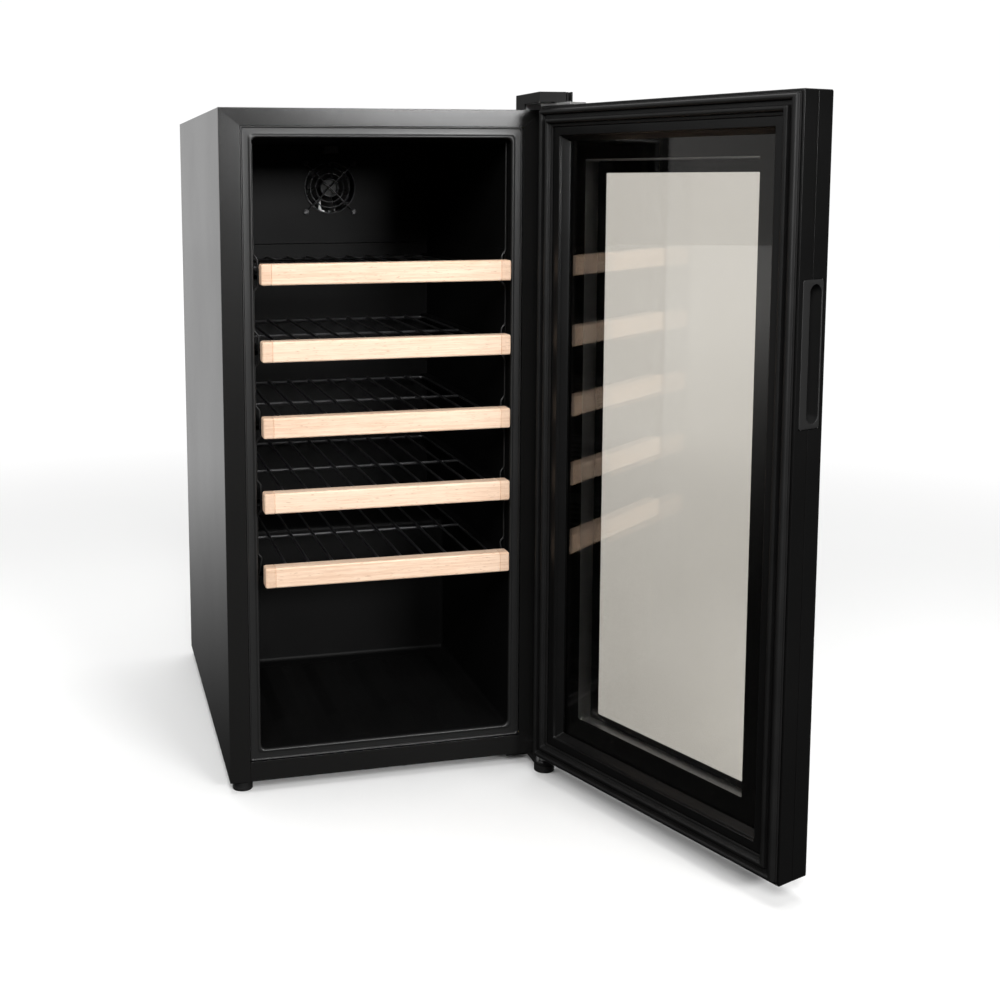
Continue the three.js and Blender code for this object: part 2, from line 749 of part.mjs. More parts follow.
// A flat snake of tube standing in the left of the compartment.
class SnakeCurve extends THREE.Curve {
  getPoint(t) {
    const run = Math.min(t * coilRuns, coilRuns - 1e-9);
    const index = Math.floor(run);
    const part = run - index;
    const straight = coilStraightShare;
    const reach = coilWidth / 2;
    const direction = index % 2 === 0 ? 1 : -1;
    const low = index * coilPitch;
    if (part < straight) {
      return new THREE.Vector3(direction * (-reach + (2 * reach * part) / straight), 0, low);
    }
    const turn = ((part - straight) / (1 - straight)) * Math.PI;
    const bulge = (coilPitch / 2) * Math.sin(turn);
    return new THREE.Vector3(direction * (reach + bulge), 0, low + (coilPitch / 2) * (1 - Math.cos(turn)));
  }
}

function condenserCoil() {
  const section = new THREE.Shape();
  section.absarc(0, 0, coilTube / 2, 0, 2 * Math.PI);
  const path = new SnakeCurve();
  const geometry = new THREE.ExtrudeGeometry(section,
    { steps: coilRuns * 9, extrudePath: path, curveSegments: 3 });
  return solid(geometry);
}

function evaporationTray() {
  const left = -half + trayFromSide;
  const right = left + trayWidth;
  const front = compartmentFront + trayFromFront;
  const back = front + trayDepth;
  const outside = block([left, right], [front, back], [floorZ, floorZ + trayHeight]);
  return outside.subtract(block([left + trayWall, right - trayWall], [front + trayWall, back - trayWall],
    [floorZ + trayWall, floorZ + trayHeight + 1]));
}

addPart(cabinet, 'start_relay_box', startRelayBox(), finishes.blackPlastic);
const drier = addPart(cabinet, 'filter_drier', filterDrier(), finishes.copper);
drier.position.set(compressorX - compressorRadius - drierPlace.left,
  compartmentFront + drierPlace.back, floorZ + drierPlace.up);
const coil = addPart(cabinet, 'condenser_coil', condenserCoil(), finishes.wire);
coil.position.set(-half + coilPlace.right, compartmentFront + coilPlace.back, floorZ + coilPlace.up);
addPart(cabinet, 'evaporation_tray', evaporationTray(), finishes.blackPlastic);

// ---- door, modelled shut and then turned about its hinge line ----------------
const door = new THREE.Group();
const doorSwing = new THREE.Group();
doorSwing.position.set(hingeX, hingeY, 0);
doorSwing.rotation.z = THREE.MathUtils.degToRad(doorOpenAngle);
door.position.set(-hingeX, -hingeY, 0);
doorSwing.add(door);
wineCooler.add(doorSwing);

const doorOutline = (inset) => [half - inset, doorBottom + inset, doorTop - inset];
const openingOutline = (grow) => [
  half - frameSideRail + grow, doorBottom + frameBottomRail - grow, doorTop - frameTopRail + grow,
];
const handleMiddle = bottomZ + handleCentre;
const handleBack = doorFront + glassThickness + 2 * fitGap + handlePlateWidth;

function handleEnvelope(grow) {
  const low = handleMiddle - handleLength / 2;
  return block([-half - 1, -half + handleDepth + grow],
    [handleBack - handlePlateWidth - grow, handleBack + grow], [low - grow, low + handleLength + grow]);
}

function handleInsert() {
  const beside = block([-half - 3, -half], [doorFront, doorBack], [doorBottom, doorTop]);
  const body = handleEnvelope(0).subtract(beside);
  const slotFront = handleBack - handlePlateWidth + handleSlotMargin;
  const low = handleMiddle - handleSlotLength / 2;
  return body.subtract(block([-half - 1, -half + handlePocket], [slotFront, slotFront + handleSlotWidth],
    [low, low + handleSlotLength]));
}

function doorInnerFrame() {
  const body = ring(doorOutline(0), openingOutline(-frameChamfer), [frameSplit, doorBack]);
  const slope = taper(openingOutline(0), frameChamfer, doorBack + 1e-3, innerGlassFace);
  const seat = openingOutline(-frameChamfer + glassSeat + fitGap);
  const rebate = block([-seat[0], seat[0]], [frameSplit - 1, innerGlassFace + fitGap], [seat[1], seat[2]]);
  return cut(body, [slope, rebate, handleEnvelope(fitGap)]);
}

function doorOuterFrame() {
  const window = doorOutline(outerRailWidth);
  const body = ring(doorOutline(0), window, [doorFront, frameSplit - fitGap]);
  const seat = doorOutline(glassEdgeWall);
  const pocket = block([-seat[0], seat[0]], [doorFront - 1, doorFront + glassThickness + fitGap],
    [seat[1], seat[2]]);
  return cut(body, [pocket, handleEnvelope(fitGap)]);
}

function outerGlass() {
  const size = doorOutline(glassEdgeWall + fitGap);
  return block([-size[0], size[0]], [doorFront, doorFront + glassThickness], [size[1], size[2]]);
}

function innerGlass() {
  const size = openingOutline(-frameChamfer + glassSeat);
  return block([-size[0], size[0]], [innerGlassFace - glassThickness, innerGlassFace], [size[1], size[2]]);
}

function glassSpacer() {
  return ring(doorOutline(spacerInset), doorOutline(spacerInset + spacerWidth),
    [doorFront + glassThickness + fitGap, innerGlassFace - glassThickness - fitGap]);
}

function doorGasket() {
  const base = [doorBack + fitGap, doorBack + fitGap + gasketBase];
  const lip = [base[1] - 0.1, -fitGap];
  const foot = ring(doorOutline(gasketInset), doorOutline(gasketInset + gasketWidth), base);
  const bulb = ring(doorOutline(gasketInset + gasketLipInset),
    doorOutline(gasketInset + gasketWidth - gasketLipInset), lip);
  return foot.add(bulb);
}

// A flat steel arm with a round end about the hinge line.
function hingeArm([z0, z1]) {
  const plate = block([hingeX - armReach, hingeX],
    [hingeY - armHalfWidth, hingeY + armHalfWidth], [z0, z1]);
  const eye = bar('z', armHalfWidth, [z0, z1], [hingeX, hingeY], 32);
  const hole = bar('z', bushOuter + fitGap, [z0 - 1, z1 + 1], [hingeX, hingeY], 32);
  return plate.add(eye).subtract(hole);
}

function hingeBush([z0, z1]) {
  const sleeve = bar('z', bushOuter, [z0, z1], [hingeX, hingeY], 32);
  return sleeve.subtract(bar('z', pinRadius + runningGap, [z0 - 1, z1 + 1], [hingeX, hingeY], 32));
}

const topArm = [doorTop + fitGap, doorTop + fitGap + armThickness];
const bottomArm = [doorBottom - fitGap - armThickness, doorBottom - fitGap];

addPart(door, 'door_outer_frame', doorOuterFrame(), finishes.caseSteel);
addPart(door, 'door_inner_frame', doorInnerFrame(), finishes.blackPlastic);
addPart(door, 'outer_glass', outerGlass(), finishes.glass);
addPart(door, 'inner_glass', innerGlass(), finishes.glass);
addPart(door, 'glass_spacer', glassSpacer(), finishes.aluminium);
addPart(door, 'door_gasket', doorGasket(), finishes.rubber);
addPart(door, 'handle_insert', handleInsert(), finishes.blackPlastic);
addPart(door, 'top_hinge_arm', hingeArm(topArm), finishes.zincSteel);
addPart(door, 'bottom_hinge_arm', hingeArm(bottomArm), finishes.zincSteel);
addPart(door, 'top_hinge_bush', hingeBush(topArm), finishes.blackPlastic);
addPart(door, 'bottom_hinge_bush', hingeBush(bottomArm), finishes.blackPlastic);

// ---- hinge brackets, pins, cover and screws ----------------------------------
const bracketLow = topArm[1] + fitGap;
const bracketHigh = bracketLow + bracketThickness;
const coverLeft = half - hingeCoverLeft;
const bracketLeft = coverLeft + hingeCoverWall + fitGap;
const padFront = 4;
const padBack = padFront + bracketPadDepth;
const screwPlaces = [0.25, 0.75].map((share) =>
  [half - screwFromSide, padFront + share * bracketPadDepth]);

function topHingeBracket() {
  const inside = half - bracketSideInset;
  const plate = block([bracketLeft, inside], [hingeY, padBack], [bracketLow, bracketHigh]);
  const nose = block([bracketLeft, hingeX], [hingeY - bracketEye, hingeY + bracketEye],
    [bracketLow, bracketHigh]);
  const eye = bar('z', bracketEye, [bracketLow, bracketHigh], [hingeX, hingeY], 32);
  const pad = block([bracketLeft, inside], [padFront, padBack], [topZ + fitGap, bracketHigh]);
  const holes = screwPlaces.map((place) =>
    bar('z', screwShankRadius + fitGap, [topZ - 1, bracketHigh + 1], place, 16));
  holes.push(bar('z', pinRadius + runningGap, [bracketLow - 1, bracketHigh + 1], [hingeX, hingeY], 32));
  return cut(join([plate, nose, eye, pad]), holes);
}

function topHingeCover() {
  const right = hingeX + hingeCoverRight;
  const low = bracketLow + fitGap;
  const front = -hingeCoverFront;
  const wall = hingeCoverWall;
  const rear = hingeCoverBack;
  const shell = block([coverLeft, right], [front, rear], [topZ + fitGap, topZ + hingeCoverHeight]);
  const hollow = block([coverLeft + wall, right - wall], [front + wall, rear - wall],
    [topZ - 1, topZ + hingeCoverHeight - wall]);
  const overDoor = block([coverLeft - 1, right + 1], [front - 1, padFront - 1], [topZ - 1, low]);
  const tongue = block([right - 1, right + coverEndWidth], [front, front + coverEndDepth],
    [low, low + wall]);
  const post = block(coverPost.map((x) => right + x), coverPostDepth.map((y) => front + y),
    [low, topZ + hingeCoverHeight]);
  const cheek = block([right + coverCheekStart, right + coverEndWidth], [front, front + coverEndDepth],
    [low, topZ + hingeCoverHeight]);
  return join([cut(shell, [hollow, overDoor]), tongue, post, cheek]);
}

function screw(direction) {
  const length = (bracketHigh - topZ - fitGap) * 0.9;
  const low = direction < 0 ? -length : 0;
  const shank = bar('z', screwShankRadius, [low, low + length + 0.1], [0, 0], 12);
  return shank.add(bar('z', screwHeadRadius, [0, screwHeadHeight], [0, 0], 16));
}

addPart(cabinet, 'top_hinge_bracket', topHingeBracket(), finishes.zincSteel);
addPart(cabinet, 'top_hinge_cover', topHingeCover(), finishes.blackPlastic);
const topPin = bar('z', pinRadius, [topArm[0], bracketHigh], [hingeX, hingeY]);
const topPinHead = bar('z', pinRadius + pinHeadOverhang,
  [bracketHigh + fitGap, bracketHigh + pinHeadHeight], [hingeX, hingeY]);
const topPinNeck = bar('z', pinRadius, [bracketHigh - 1, bracketHigh + 2], [hingeX, hingeY]);
addPart(cabinet, 'top_hinge_pin', join([topPin, topPinNeck, topPinHead]), finishes.zincSteel);
screwPlaces.forEach(([x, y], index) => {
  const mesh = addPart(cabinet, `top_hinge_screw_${index + 1}`, screw(-1), finishes.zincSteel);
  mesh.position.set(x, y, bracketHigh + fitGap);
});

const lowBracketTop = bottomZ - fitGap;
const lowBracketBottom = lowBracketTop - lowBracketThickness;

function bottomHingeBracket() {
  const range = [lowBracketBottom, lowBracketTop];
  const inside = half - bracketSideInset;
  const plate = block([half - lowBracketWidth, inside], [padFront, sillReturn - padFront], range);
  const nose = block([hingeX - hingeFootRadius, inside], [hingeY, padFront + 1], range);
  const eye = bar('z', hingeFootRadius, range, [hingeX, hingeY], 32);
  const hole = bar('z', pinRadius + fitGap, [range[0] - 1, range[1] + 1], [hingeX, hingeY], 32);
  return join([plate, nose, eye]).subtract(hole);
}

addPart(cabinet, 'bottom_hinge_bracket', bottomHingeBracket(), finishes.zincSteel);
const collarTop = bottomArm[0] - fitGap;
const lowPin = bar('z', pinRadius, [lowBracketBottom + fitGap, bottomArm[1]], [hingeX, hingeY]);
const collar = bar('z', pinRadius + pinCollarWidth, [bottomZ, collarTop], [hingeX, hingeY]);
addPart(cabinet, 'bottom_hinge_pin', lowPin.add(collar), finishes.zincSteel);

// ---- feet --------------------------------------------------------------------
function levellingFoot(radius, high, studHeight) {
  const profile = [[0, 0], [radius - footSole, 0], [radius, footSole], [radius, high - footShoulder],
    [radius - footShoulder, high], [footStudRadius, high]];
  profile.push([footStudRadius, high + studHeight], [0, high + studHeight]);
  return solid(turned(profile, 24));
}

const leftFoot = addPart(wineCooler, 'front_left_foot',
  levellingFoot(footRadius, footHeight - fitGap, footStud), finishes.blackPlastic);
leftFoot.position.set(-half + footInset, footInset, 0);
const rightFoot = addPart(wineCooler, 'front_right_foot',
  levellingFoot(hingeFootRadius, lowBracketBottom - fitGap - footSeat, footSeat), finishes.blackPlastic);
rightFoot.position.set(hingeX, hingeY, 0);
[['rear_left_foot', -1], ['rear_right_foot', 1]].forEach(([name, side]) => {
  const foot = addPart(cabinet, name, levellingFoot(footRadius - rearFootSmaller,
    footHeight - fitGap - footSeat, footSeat), finishes.blackPlastic);
  foot.position.set(side * (half - rearFootInset), cabinetDepth - rearFootFromBack, 0);
});

// ---- the origin: on the floor, under the middle of the whole part at rest -----
wineCooler.updateMatrixWorld(true);
const bounds = new THREE.Box3().setFromObject(wineCooler, true);
const middle = bounds.getCenter(new THREE.Vector3());
wineCooler.position.set(-middle.x, -middle.y, -bounds.min.z);
wineCooler.updateMatrixWorld(true);

export default wineCooler;
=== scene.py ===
import json
import math

import bmesh
import bpy
from mathutils import Matrix, Vector

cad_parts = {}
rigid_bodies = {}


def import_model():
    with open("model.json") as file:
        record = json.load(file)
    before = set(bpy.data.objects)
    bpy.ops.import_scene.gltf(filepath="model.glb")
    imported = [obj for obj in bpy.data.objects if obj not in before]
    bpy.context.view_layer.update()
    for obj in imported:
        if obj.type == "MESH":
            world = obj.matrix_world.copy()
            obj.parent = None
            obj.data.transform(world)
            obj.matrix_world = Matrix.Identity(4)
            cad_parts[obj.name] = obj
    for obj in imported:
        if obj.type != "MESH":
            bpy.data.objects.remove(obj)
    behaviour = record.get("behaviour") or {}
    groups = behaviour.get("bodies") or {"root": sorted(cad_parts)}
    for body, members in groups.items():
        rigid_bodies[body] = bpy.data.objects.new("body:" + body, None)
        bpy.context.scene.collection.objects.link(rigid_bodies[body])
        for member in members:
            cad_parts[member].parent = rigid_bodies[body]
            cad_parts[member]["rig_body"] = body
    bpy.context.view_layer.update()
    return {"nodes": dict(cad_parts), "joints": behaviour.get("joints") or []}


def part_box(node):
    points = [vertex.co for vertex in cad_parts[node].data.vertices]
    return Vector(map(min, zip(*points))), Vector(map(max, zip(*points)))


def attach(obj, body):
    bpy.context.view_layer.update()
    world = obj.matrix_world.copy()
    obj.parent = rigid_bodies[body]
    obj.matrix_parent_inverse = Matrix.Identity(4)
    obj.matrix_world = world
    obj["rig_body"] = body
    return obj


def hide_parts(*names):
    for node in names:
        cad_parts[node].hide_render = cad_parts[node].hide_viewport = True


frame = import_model()
mm = 0.001
joints = {joint["name"]: joint for joint in frame["joints"]}
caseLow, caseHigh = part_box("outer_case")
middleX = (caseLow.x + caseHigh.x) / 2
print("frame loaded,", len(frame["nodes"]), "nodes")


# ---- shader values: arithmetic on one adds Math nodes ----
class Signal:
    def __init__(self, finish, socket):
        self.finish = finish
        self.socket = socket

    def work(self, operation, *values):
        return self.finish.node("Math", dict(enumerate(values)), operation=operation)

    def __add__(self, other):
        return self.work("ADD", self, other)

    def __radd__(self, other):
        return self.work("ADD", other, self)

    def __sub__(self, other):
        return self.work("SUBTRACT", self, other)

    def __rsub__(self, other):
        return self.work("SUBTRACT", other, self)

    def __mul__(self, other):
        return self.work("MULTIPLY", self, other)

    def __rmul__(self, other):
        return self.work("MULTIPLY", other, self)

    def above(self, low, high):
        # 0 below low, 1 above high, smooth between
        return self.finish.node(
            "MapRange", {"Value": self, "From Min": low, "From Max": high}, interpolation_type="SMOOTHSTEP")


class Finish:
    def __init__(self, name, tree=None):
        if tree is None:
            self.material = bpy.data.materials.new(name)
            self.material.use_nodes = True
            tree = self.material.node_tree
            self.shader = tree.nodes["Principled BSDF"]
        self.tree = tree

    def feed(self, socket, value):
        if isinstance(value, Signal):
            self.tree.links.new(value.socket, socket)
        elif hasattr(value, "__len__") and socket.type == "RGBA":
            socket.default_value = (*value[:3], 1)
        else:
            socket.default_value = value

    def node(self, kind, inputs=None, output=0, **settings):
        made = self.tree.nodes.new("ShaderNode" + kind)
        for key, value in settings.items():
            setattr(made, key, value)
        for key, value in (inputs or {}).items():
            self.feed(made.inputs[key], value)
        return Signal(self, made.outputs[output])

    def place(self, stretch=(1, 1, 1), centre=(0, 0, 0)):
        here = self.node("TexCoord", output="Object")
        moved = self.node("Mapping", {"Vector": here, "Location": [-c for c in centre]})
        return self.node("Mapping", {"Vector": moved, "Scale": stretch})

    def noise(self, size, stretch=(1, 1, 1), detail=3.0, roughness=0.5):
        where = self.place(stretch)
        settings = {"Vector": where, "Scale": 1 / size, "Detail": detail, "Roughness": roughness}
        return self.node("TexNoise", settings)

    def cells(self, size):
        return self.node("TexVoronoi", {"Vector": self.place(), "Scale": 1 / size}, feature="F1")

    def blend(self, share, first, second):
        return self.node("Mix", {0: share, 6: first, 7: second}, output=2, data_type="RGBA")

    def bump(self, height, distance, strength=1.0):
        return self.node("Bump", {"Height": height, "Distance": distance, "Strength": strength})

    def set(self, **sockets):
        for name, value in sockets.items():
            self.feed(self.shader.inputs[name.replace("_", " ")], value)
        return self.material


# ---- finishes ----
def makeCaseSteel():
    # black powder coat: faint orange peel, dust and hand marks in the gloss
    look = {"dark": (0.0075, 0.0074, 0.0072), "light": (0.0120, 0.0117, 0.0113), "peel": 0.9 * mm}
    f = Finish("caseSteel")
    cloud = f.noise(180 * mm, detail=4)
    grain = f.noise(look["peel"], detail=2)
    fine = f.noise(0.35 * mm, detail=1)
    colour = f.blend(cloud * 0.5 + fine * 0.5, look["dark"], look["light"])
    return f.set(
        Base_Color=colour, Roughness=0.17 + cloud * 0.06 + grain * 0.04, Metallic=0.0, IOR=1.52,
        Normal=f.bump(grain * 0.7 + fine * 0.3, 0.035 * mm, 0.8))


def makeMoulded(name, dark, light, roughness, texture, depth, ior=1.48):
    # moulded plastic: fine spark texture, slow waves in the gloss
    f = Finish(name)
    wave = f.noise(70 * mm, detail=2)
    spark = f.noise(texture, detail=2)
    pits = f.cells(texture * 1.6).above(0.1, 0.6)
    colour = f.blend(wave * 0.35 + spark * 0.65, dark, light)
    return f.set(
        Base_Color=colour, Roughness=roughness + wave * 0.08 + spark * 0.07, IOR=ior,
        Normal=f.bump(spark * 0.6 + pits * 0.4, depth, 0.8))


def makeGlossPrint():
    # black ceramic print seen on glass
    f = Finish("glossPrint")
    wave = f.noise(220 * mm, detail=1)
    fine = f.noise(9 * mm, detail=3)
    colour = f.blend(fine, (0.0030, 0.0029, 0.0028), (0.0052, 0.0050, 0.0048))
    return f.set(
        Base_Color=colour, Roughness=0.05 + wave * 0.05, IOR=1.5, Normal=f.bump(fine, 0.01 * mm, 0.2))


def makeGlass():
    # warm grey solar glass, with a little haze where it was wiped
    f = Finish("tintedGlass")
    haze = f.noise(90 * mm, detail=3)
    colour = f.blend(haze, (0.775, 0.755, 0.715), (0.80, 0.78, 0.745))
    return f.set(Base_Color=colour, Roughness=0.0, IOR=1.5, Transmission_Weight=1.0)


def makeBeech():
    # pale steamed beech: long grain, short dark flecks, darker end blocks
    look = {"pale": (0.93, 0.71, 0.54), "warm": (0.76, 0.51, 0.35), "fleck": (0.42, 0.22, 0.11)}
    ends = {"start": 141 * mm, "full": 142.2 * mm}
    f = Finish("beech")
    broad = f.noise(46 * mm, (0.10, 1, 1), detail=2)
    lines = f.noise(2.6 * mm, (0.022, 1, 1), detail=4, roughness=0.6)
    fine = f.noise(0.8 * mm, (0.05, 1, 1), detail=2)
    flecks = f.noise(1.3 * mm, (0.16, 1, 1), detail=1).above(0.66, 0.74)
    along = f.node("SeparateXYZ", {"Vector": f.place(centre=(middleX, 0, 0))}, output="X")
    endBlock = along.work("ABSOLUTE", along).above(ends["start"], ends["full"])
    tone = broad * 0.25 + lines * 0.45 + fine * 0.3
    wood = f.blend(tone.above(0.38, 0.66), look["pale"], look["warm"])
    wood = f.blend(flecks * 0.42, wood, look["fleck"])
    wood = f.blend(endBlock * 0.22, wood, look["fleck"])
    return f.set(
        Base_Color=wood, Roughness=0.50 + tone * 0.16, IOR=1.45,
        Normal=f.bump(lines * 0.5 + fine * 0.3 - flecks * 0.4, 0.09 * mm, 0.8))


def makePlugWood():
    f = Finish("plugWood")
    rings = f.noise(0.9 * mm, detail=3)
    colour = f.blend(rings, (0.16, 0.075, 0.04), (0.34, 0.17, 0.09))
    return f.set(Base_Color=colour, Roughness=0.7 + rings * 0.1, Normal=f.bump(rings, 0.05 * mm))


def makeWire():
    # dipped grey-black wire with small runs in the coat
    f = Finish("coatedWire")
    runs = f.noise(7 * mm, detail=3)
    fine = f.noise(0.6 * mm, detail=2)
    colour = f.blend(runs, (0.020, 0.020, 0.021), (0.050, 0.050, 0.052))
    return f.set(
        Base_Color=colour, Metallic=0.25, Roughness=0.26 + runs * 0.12,
        Normal=f.bump(runs * 0.6 + fine * 0.4, 0.08 * mm))


def makeMetal(name, dark, light, roughness, brushed=(1, 1, 1)):
    # plated or drawn metal: fine scratches along one way, cloudy tarnish
    f = Finish(name)
    cloud = f.noise(14 * mm, detail=4)
    brush = f.noise(0.5 * mm, brushed, detail=3)
    colour = f.blend(cloud * 0.6 + brush * 0.4, dark, light)
    return f.set(
        Base_Color=colour, Metallic=0.95, Roughness=roughness + cloud * 0.16 + brush * 0.08,
        Normal=f.bump(brush, 0.03 * mm))


def makeFoam():
    f = Finish("insulationFoam")
    cell = f.cells(1.6 * mm)
    cloud = f.noise(60 * mm)
    colour = f.blend(cloud, (0.62, 0.48, 0.22), (0.80, 0.66, 0.38))
    return f.set(Base_Color=colour, Roughness=0.85 + cloud * 0.1, Normal=f.bump(cell, 0.5 * mm))


def makeRubber():
    # soft magnetic seal: matt with a greasy bloom
    f = Finish("sealRubber")
    bloom = f.noise(30 * mm, detail=4)
    fine = f.noise(0.5 * mm, detail=2)
    colour = f.blend(bloom, (0.0045, 0.0045, 0.0045), (0.0100, 0.0098, 0.0096))
    return f.set(
        Base_Color=colour, Roughness=0.38 + bloom * 0.12 + fine * 0.05, IOR=1.30,
        Normal=f.bump(fine, 0.03 * mm))


def makeLampLens():
    # smoked diffuser over a row of small diodes
    f = Finish("lampLens")
    ribs = f.node("TexWave", {"Vector": f.place(), "Scale": 90.0}, output="Fac", bands_direction="X")
    dust = f.noise(3 * mm)
    colour = f.blend(ribs * 0.6 + dust * 0.4, (0.03, 0.03, 0.03), (0.09, 0.088, 0.084))
    return f.set(Base_Color=colour, Roughness=0.2 + dust * 0.2, Normal=f.bump(ribs, 0.1 * mm))


finishes = {
    "case": makeCaseSteel(),
    "trim": makeMoulded(
        "trimPlastic", (0.010, 0.010, 0.010), (0.017, 0.0168, 0.0165), 0.30, 0.7 * mm, 0.02 * mm),
    "moulding": makeMoulded(
        "frameMoulding", (0.0025, 0.0025, 0.0025), (0.0060, 0.0059, 0.0058),
        0.24, 1.1 * mm, 0.015 * mm, 1.34),
    "liner": makeMoulded(
        "linerPlastic", (0.0014, 0.0014, 0.0015), (0.0055, 0.0054, 0.0053), 0.45, 1.5 * mm, 0.07 * mm, 1.25),
    "plastic": makeMoulded(
        "blackPlastic", (0.0060, 0.0060, 0.0060), (0.0120, 0.0118, 0.0115), 0.42, 0.9 * mm, 0.05 * mm),
    "cover": makeMoulded(
        "coverPlastic", (0.0035, 0.0035, 0.0035), (0.0085, 0.0084, 0.0082), 0.60, 0.9 * mm, 0.05 * mm, 1.30),
    "print": makeGlossPrint(),
    "glass": makeGlass(),
    "beech": makeBeech(),
    "plug": makePlugWood(),
    "wire": makeWire(),
    "zinc": makeMetal("zincPlate", (0.40, 0.40, 0.41), (0.62, 0.62, 0.60), 0.30),
    "aluminium": makeMetal("spacerAluminium", (0.30, 0.31, 0.32), (0.46, 0.46, 0.46), 0.24, (1, 1, 0.1)),
    "copper": makeMetal("copperTube", (0.50, 0.22, 0.11), (0.76, 0.40, 0.24), 0.26),
    "foam": makeFoam(),
    "rubber": makeRubber(),
    "lens": makeLampLens(),
}
print("finishes made")


# ---- making pieces ----
facings = {
    "front": lambda u, v, depth: (u, depth, v),
    "side": lambda u, v, depth: (depth, u, v),
}


def settle(ring, station, facing, corner):
    # lays a ring of points out as a rounded rectangle: u range, v range, depth and corner radius
    (u0, u1), (v0, v1), depth, radius = station
    for index, vert in enumerate(ring):
        quarter, step = divmod(index, corner)
        angle = (quarter + (step / (corner - 1) if corner > 1 else 0.5)) * math.pi / 2
        reach = radius if corner > 1 else radius * math.sqrt(2)
        u = (u1 - radius if quarter in (0, 3) else u0 + radius) + reach * math.cos(angle)
        v = (v1 - radius if quarter in (0, 1) else v0 + radius) + reach * math.sin(angle)
        vert.co = facings[facing](u, v, depth)


def loft(stations, facing="front", corner=1, closed=False, bm=None):
    # rounded rectangles drawn out one from the next; closed makes a frame with a hole
    bm = bm or bmesh.new()
    ring = bmesh.ops.create_circle(bm, segments=4 * corner, radius=1)["verts"]
    settle(ring, stations[0], facing, corner)
    ends = []
    for station in stations[1:] + stations[:1] * closed:
        held = set(ring)
        edges = [e for e in {e for vert in ring for e in vert.link_edges} if held.issuperset(e.verts)]
        ends.append(edges)
        drawn = set(bmesh.ops.extrude_edge_only(bm, edges=edges)["geom"])
        ring = [next(e.other_vert(v) for e in v.link_edges if e.other_vert(v) in drawn) for v in ring]
        settle(ring, station, facing, corner)
    if not closed:
        held = set(ring)
        last = [e for e in {e for vert in ring for e in vert.link_edges} if held.issuperset(e.verts)]
        for edges in (ends[0], last):
            bmesh.ops.contextual_create(bm, geom=edges)
    return bm


def frameStations(low, high, profile):
    # the same section all round a rectangle: inset from it, depth, corner radius
    return [((low.x + inset, high.x - inset), (low.z + inset, high.z - inset), depth, radius)
            for inset, depth, radius in profile]


def turned(profile, centre, axis="Z", steps=40, bm=None):
    bm = bm or bmesh.new()
    verts = [bm.verts.new((radius, 0, height)) for radius, height in profile]
    edges = [bm.edges.new(pair) for pair in zip(verts, verts[1:])]
    before = set(bm.verts) - set(verts)
    bmesh.ops.spin(
        bm, geom=verts + edges, cent=(0, 0, 0), axis=(0, 0, 1), angle=2 * math.pi, steps=steps,
        use_merge=True, use_duplicate=False)
    turns = {"Z": Matrix.Identity(4), "Y": Matrix.Rotation(math.pi / 2, 4, "X")}
    made = [vert for vert in bm.verts if vert not in before]
    bmesh.ops.transform(bm, matrix=Matrix.Translation(centre) @ turns[axis], verts=made)
    return bm


def addBox(low, high):
    bm = bmesh.new()
    size, centre = Vector(high) - Vector(low), (Vector(high) + Vector(low)) / 2
    place = Matrix.Translation(centre) @ Matrix.Diagonal((*size, 1))
    bmesh.ops.create_cube(bm, size=1, matrix=place)
    return bm


def roundEdges(bm, offset, segments=3, edges=None):
    limit = math.radians(30)
    if edges is None:
        edges = [e for e in bm.edges if len(e.link_faces) == 2 and e.calc_face_angle(0) > limit]
    bmesh.ops.bevel(
        bm, geom=edges, offset=offset, offset_type="OFFSET", affect="EDGES", segments=segments,
        profile=0.5, material=-1, clamp_overlap=True)
    return bm


def closeUp(bm):
    bmesh.ops.remove_doubles(bm, verts=bm.verts, dist=0.5e-6)
    bmesh.ops.dissolve_degenerate(bm, edges=bm.edges, dist=1e-7)
    bmesh.ops.recalc_face_normals(bm, faces=bm.faces)
    return bm


def addPiece(bm, name, body, finish, replaced=(), smooth=38, normals=True):
    if normals:
        closeUp(bm)
    mesh = bpy.data.meshes.new(name)
    bm.to_mesh(mesh)
    bm.free()
    return addMesh(mesh, name, body, finish, replaced, smooth, flats=True)


def addMesh(mesh, name, body, finish, replaced=(), smooth=38, flats=False):
    mesh.materials.clear()
    for one in finish if isinstance(finish, tuple) else (finish,):
        mesh.materials.append(finishes[one])
    mesh.shade_smooth()
    mesh.set_sharp_from_angle(angle=math.radians(smooth))
    piece = bpy.data.objects.new(name, mesh)
    bpy.context.scene.collection.objects.link(piece)
    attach(piece, body)
    if replaced:
        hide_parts(*replaced)
    if flats:
        shade = piece.modifiers.new("flats", "WEIGHTED_NORMAL")  # broad faces keep their flat shading
        shade.keep_sharp = True
    return piece


def carve(bm, low, high):
    # cuts a box out of a closed shape
    whole, tool = bpy.data.meshes.new("whole"), bpy.data.meshes.new("tool")
    closeUp(bm).to_mesh(whole)
    closeUp(addBox(low, high)).to_mesh(tool)
    body, cutter = bpy.data.objects.new("whole", whole), bpy.data.objects.new("tool", tool)
    for one in (body, cutter):
        bpy.context.scene.collection.objects.link(one)
    modifier = body.modifiers.new("pocket", "BOOLEAN")
    modifier.object, modifier.operation, modifier.solver = cutter, "DIFFERENCE", "EXACT"
    result = bpy.data.meshes.new_from_object(body.evaluated_get(bpy.context.evaluated_depsgraph_get()))
    bm.clear()
    bm.from_mesh(result)
    for one in (body, cutter):
        bpy.data.objects.remove(one)
    return bm


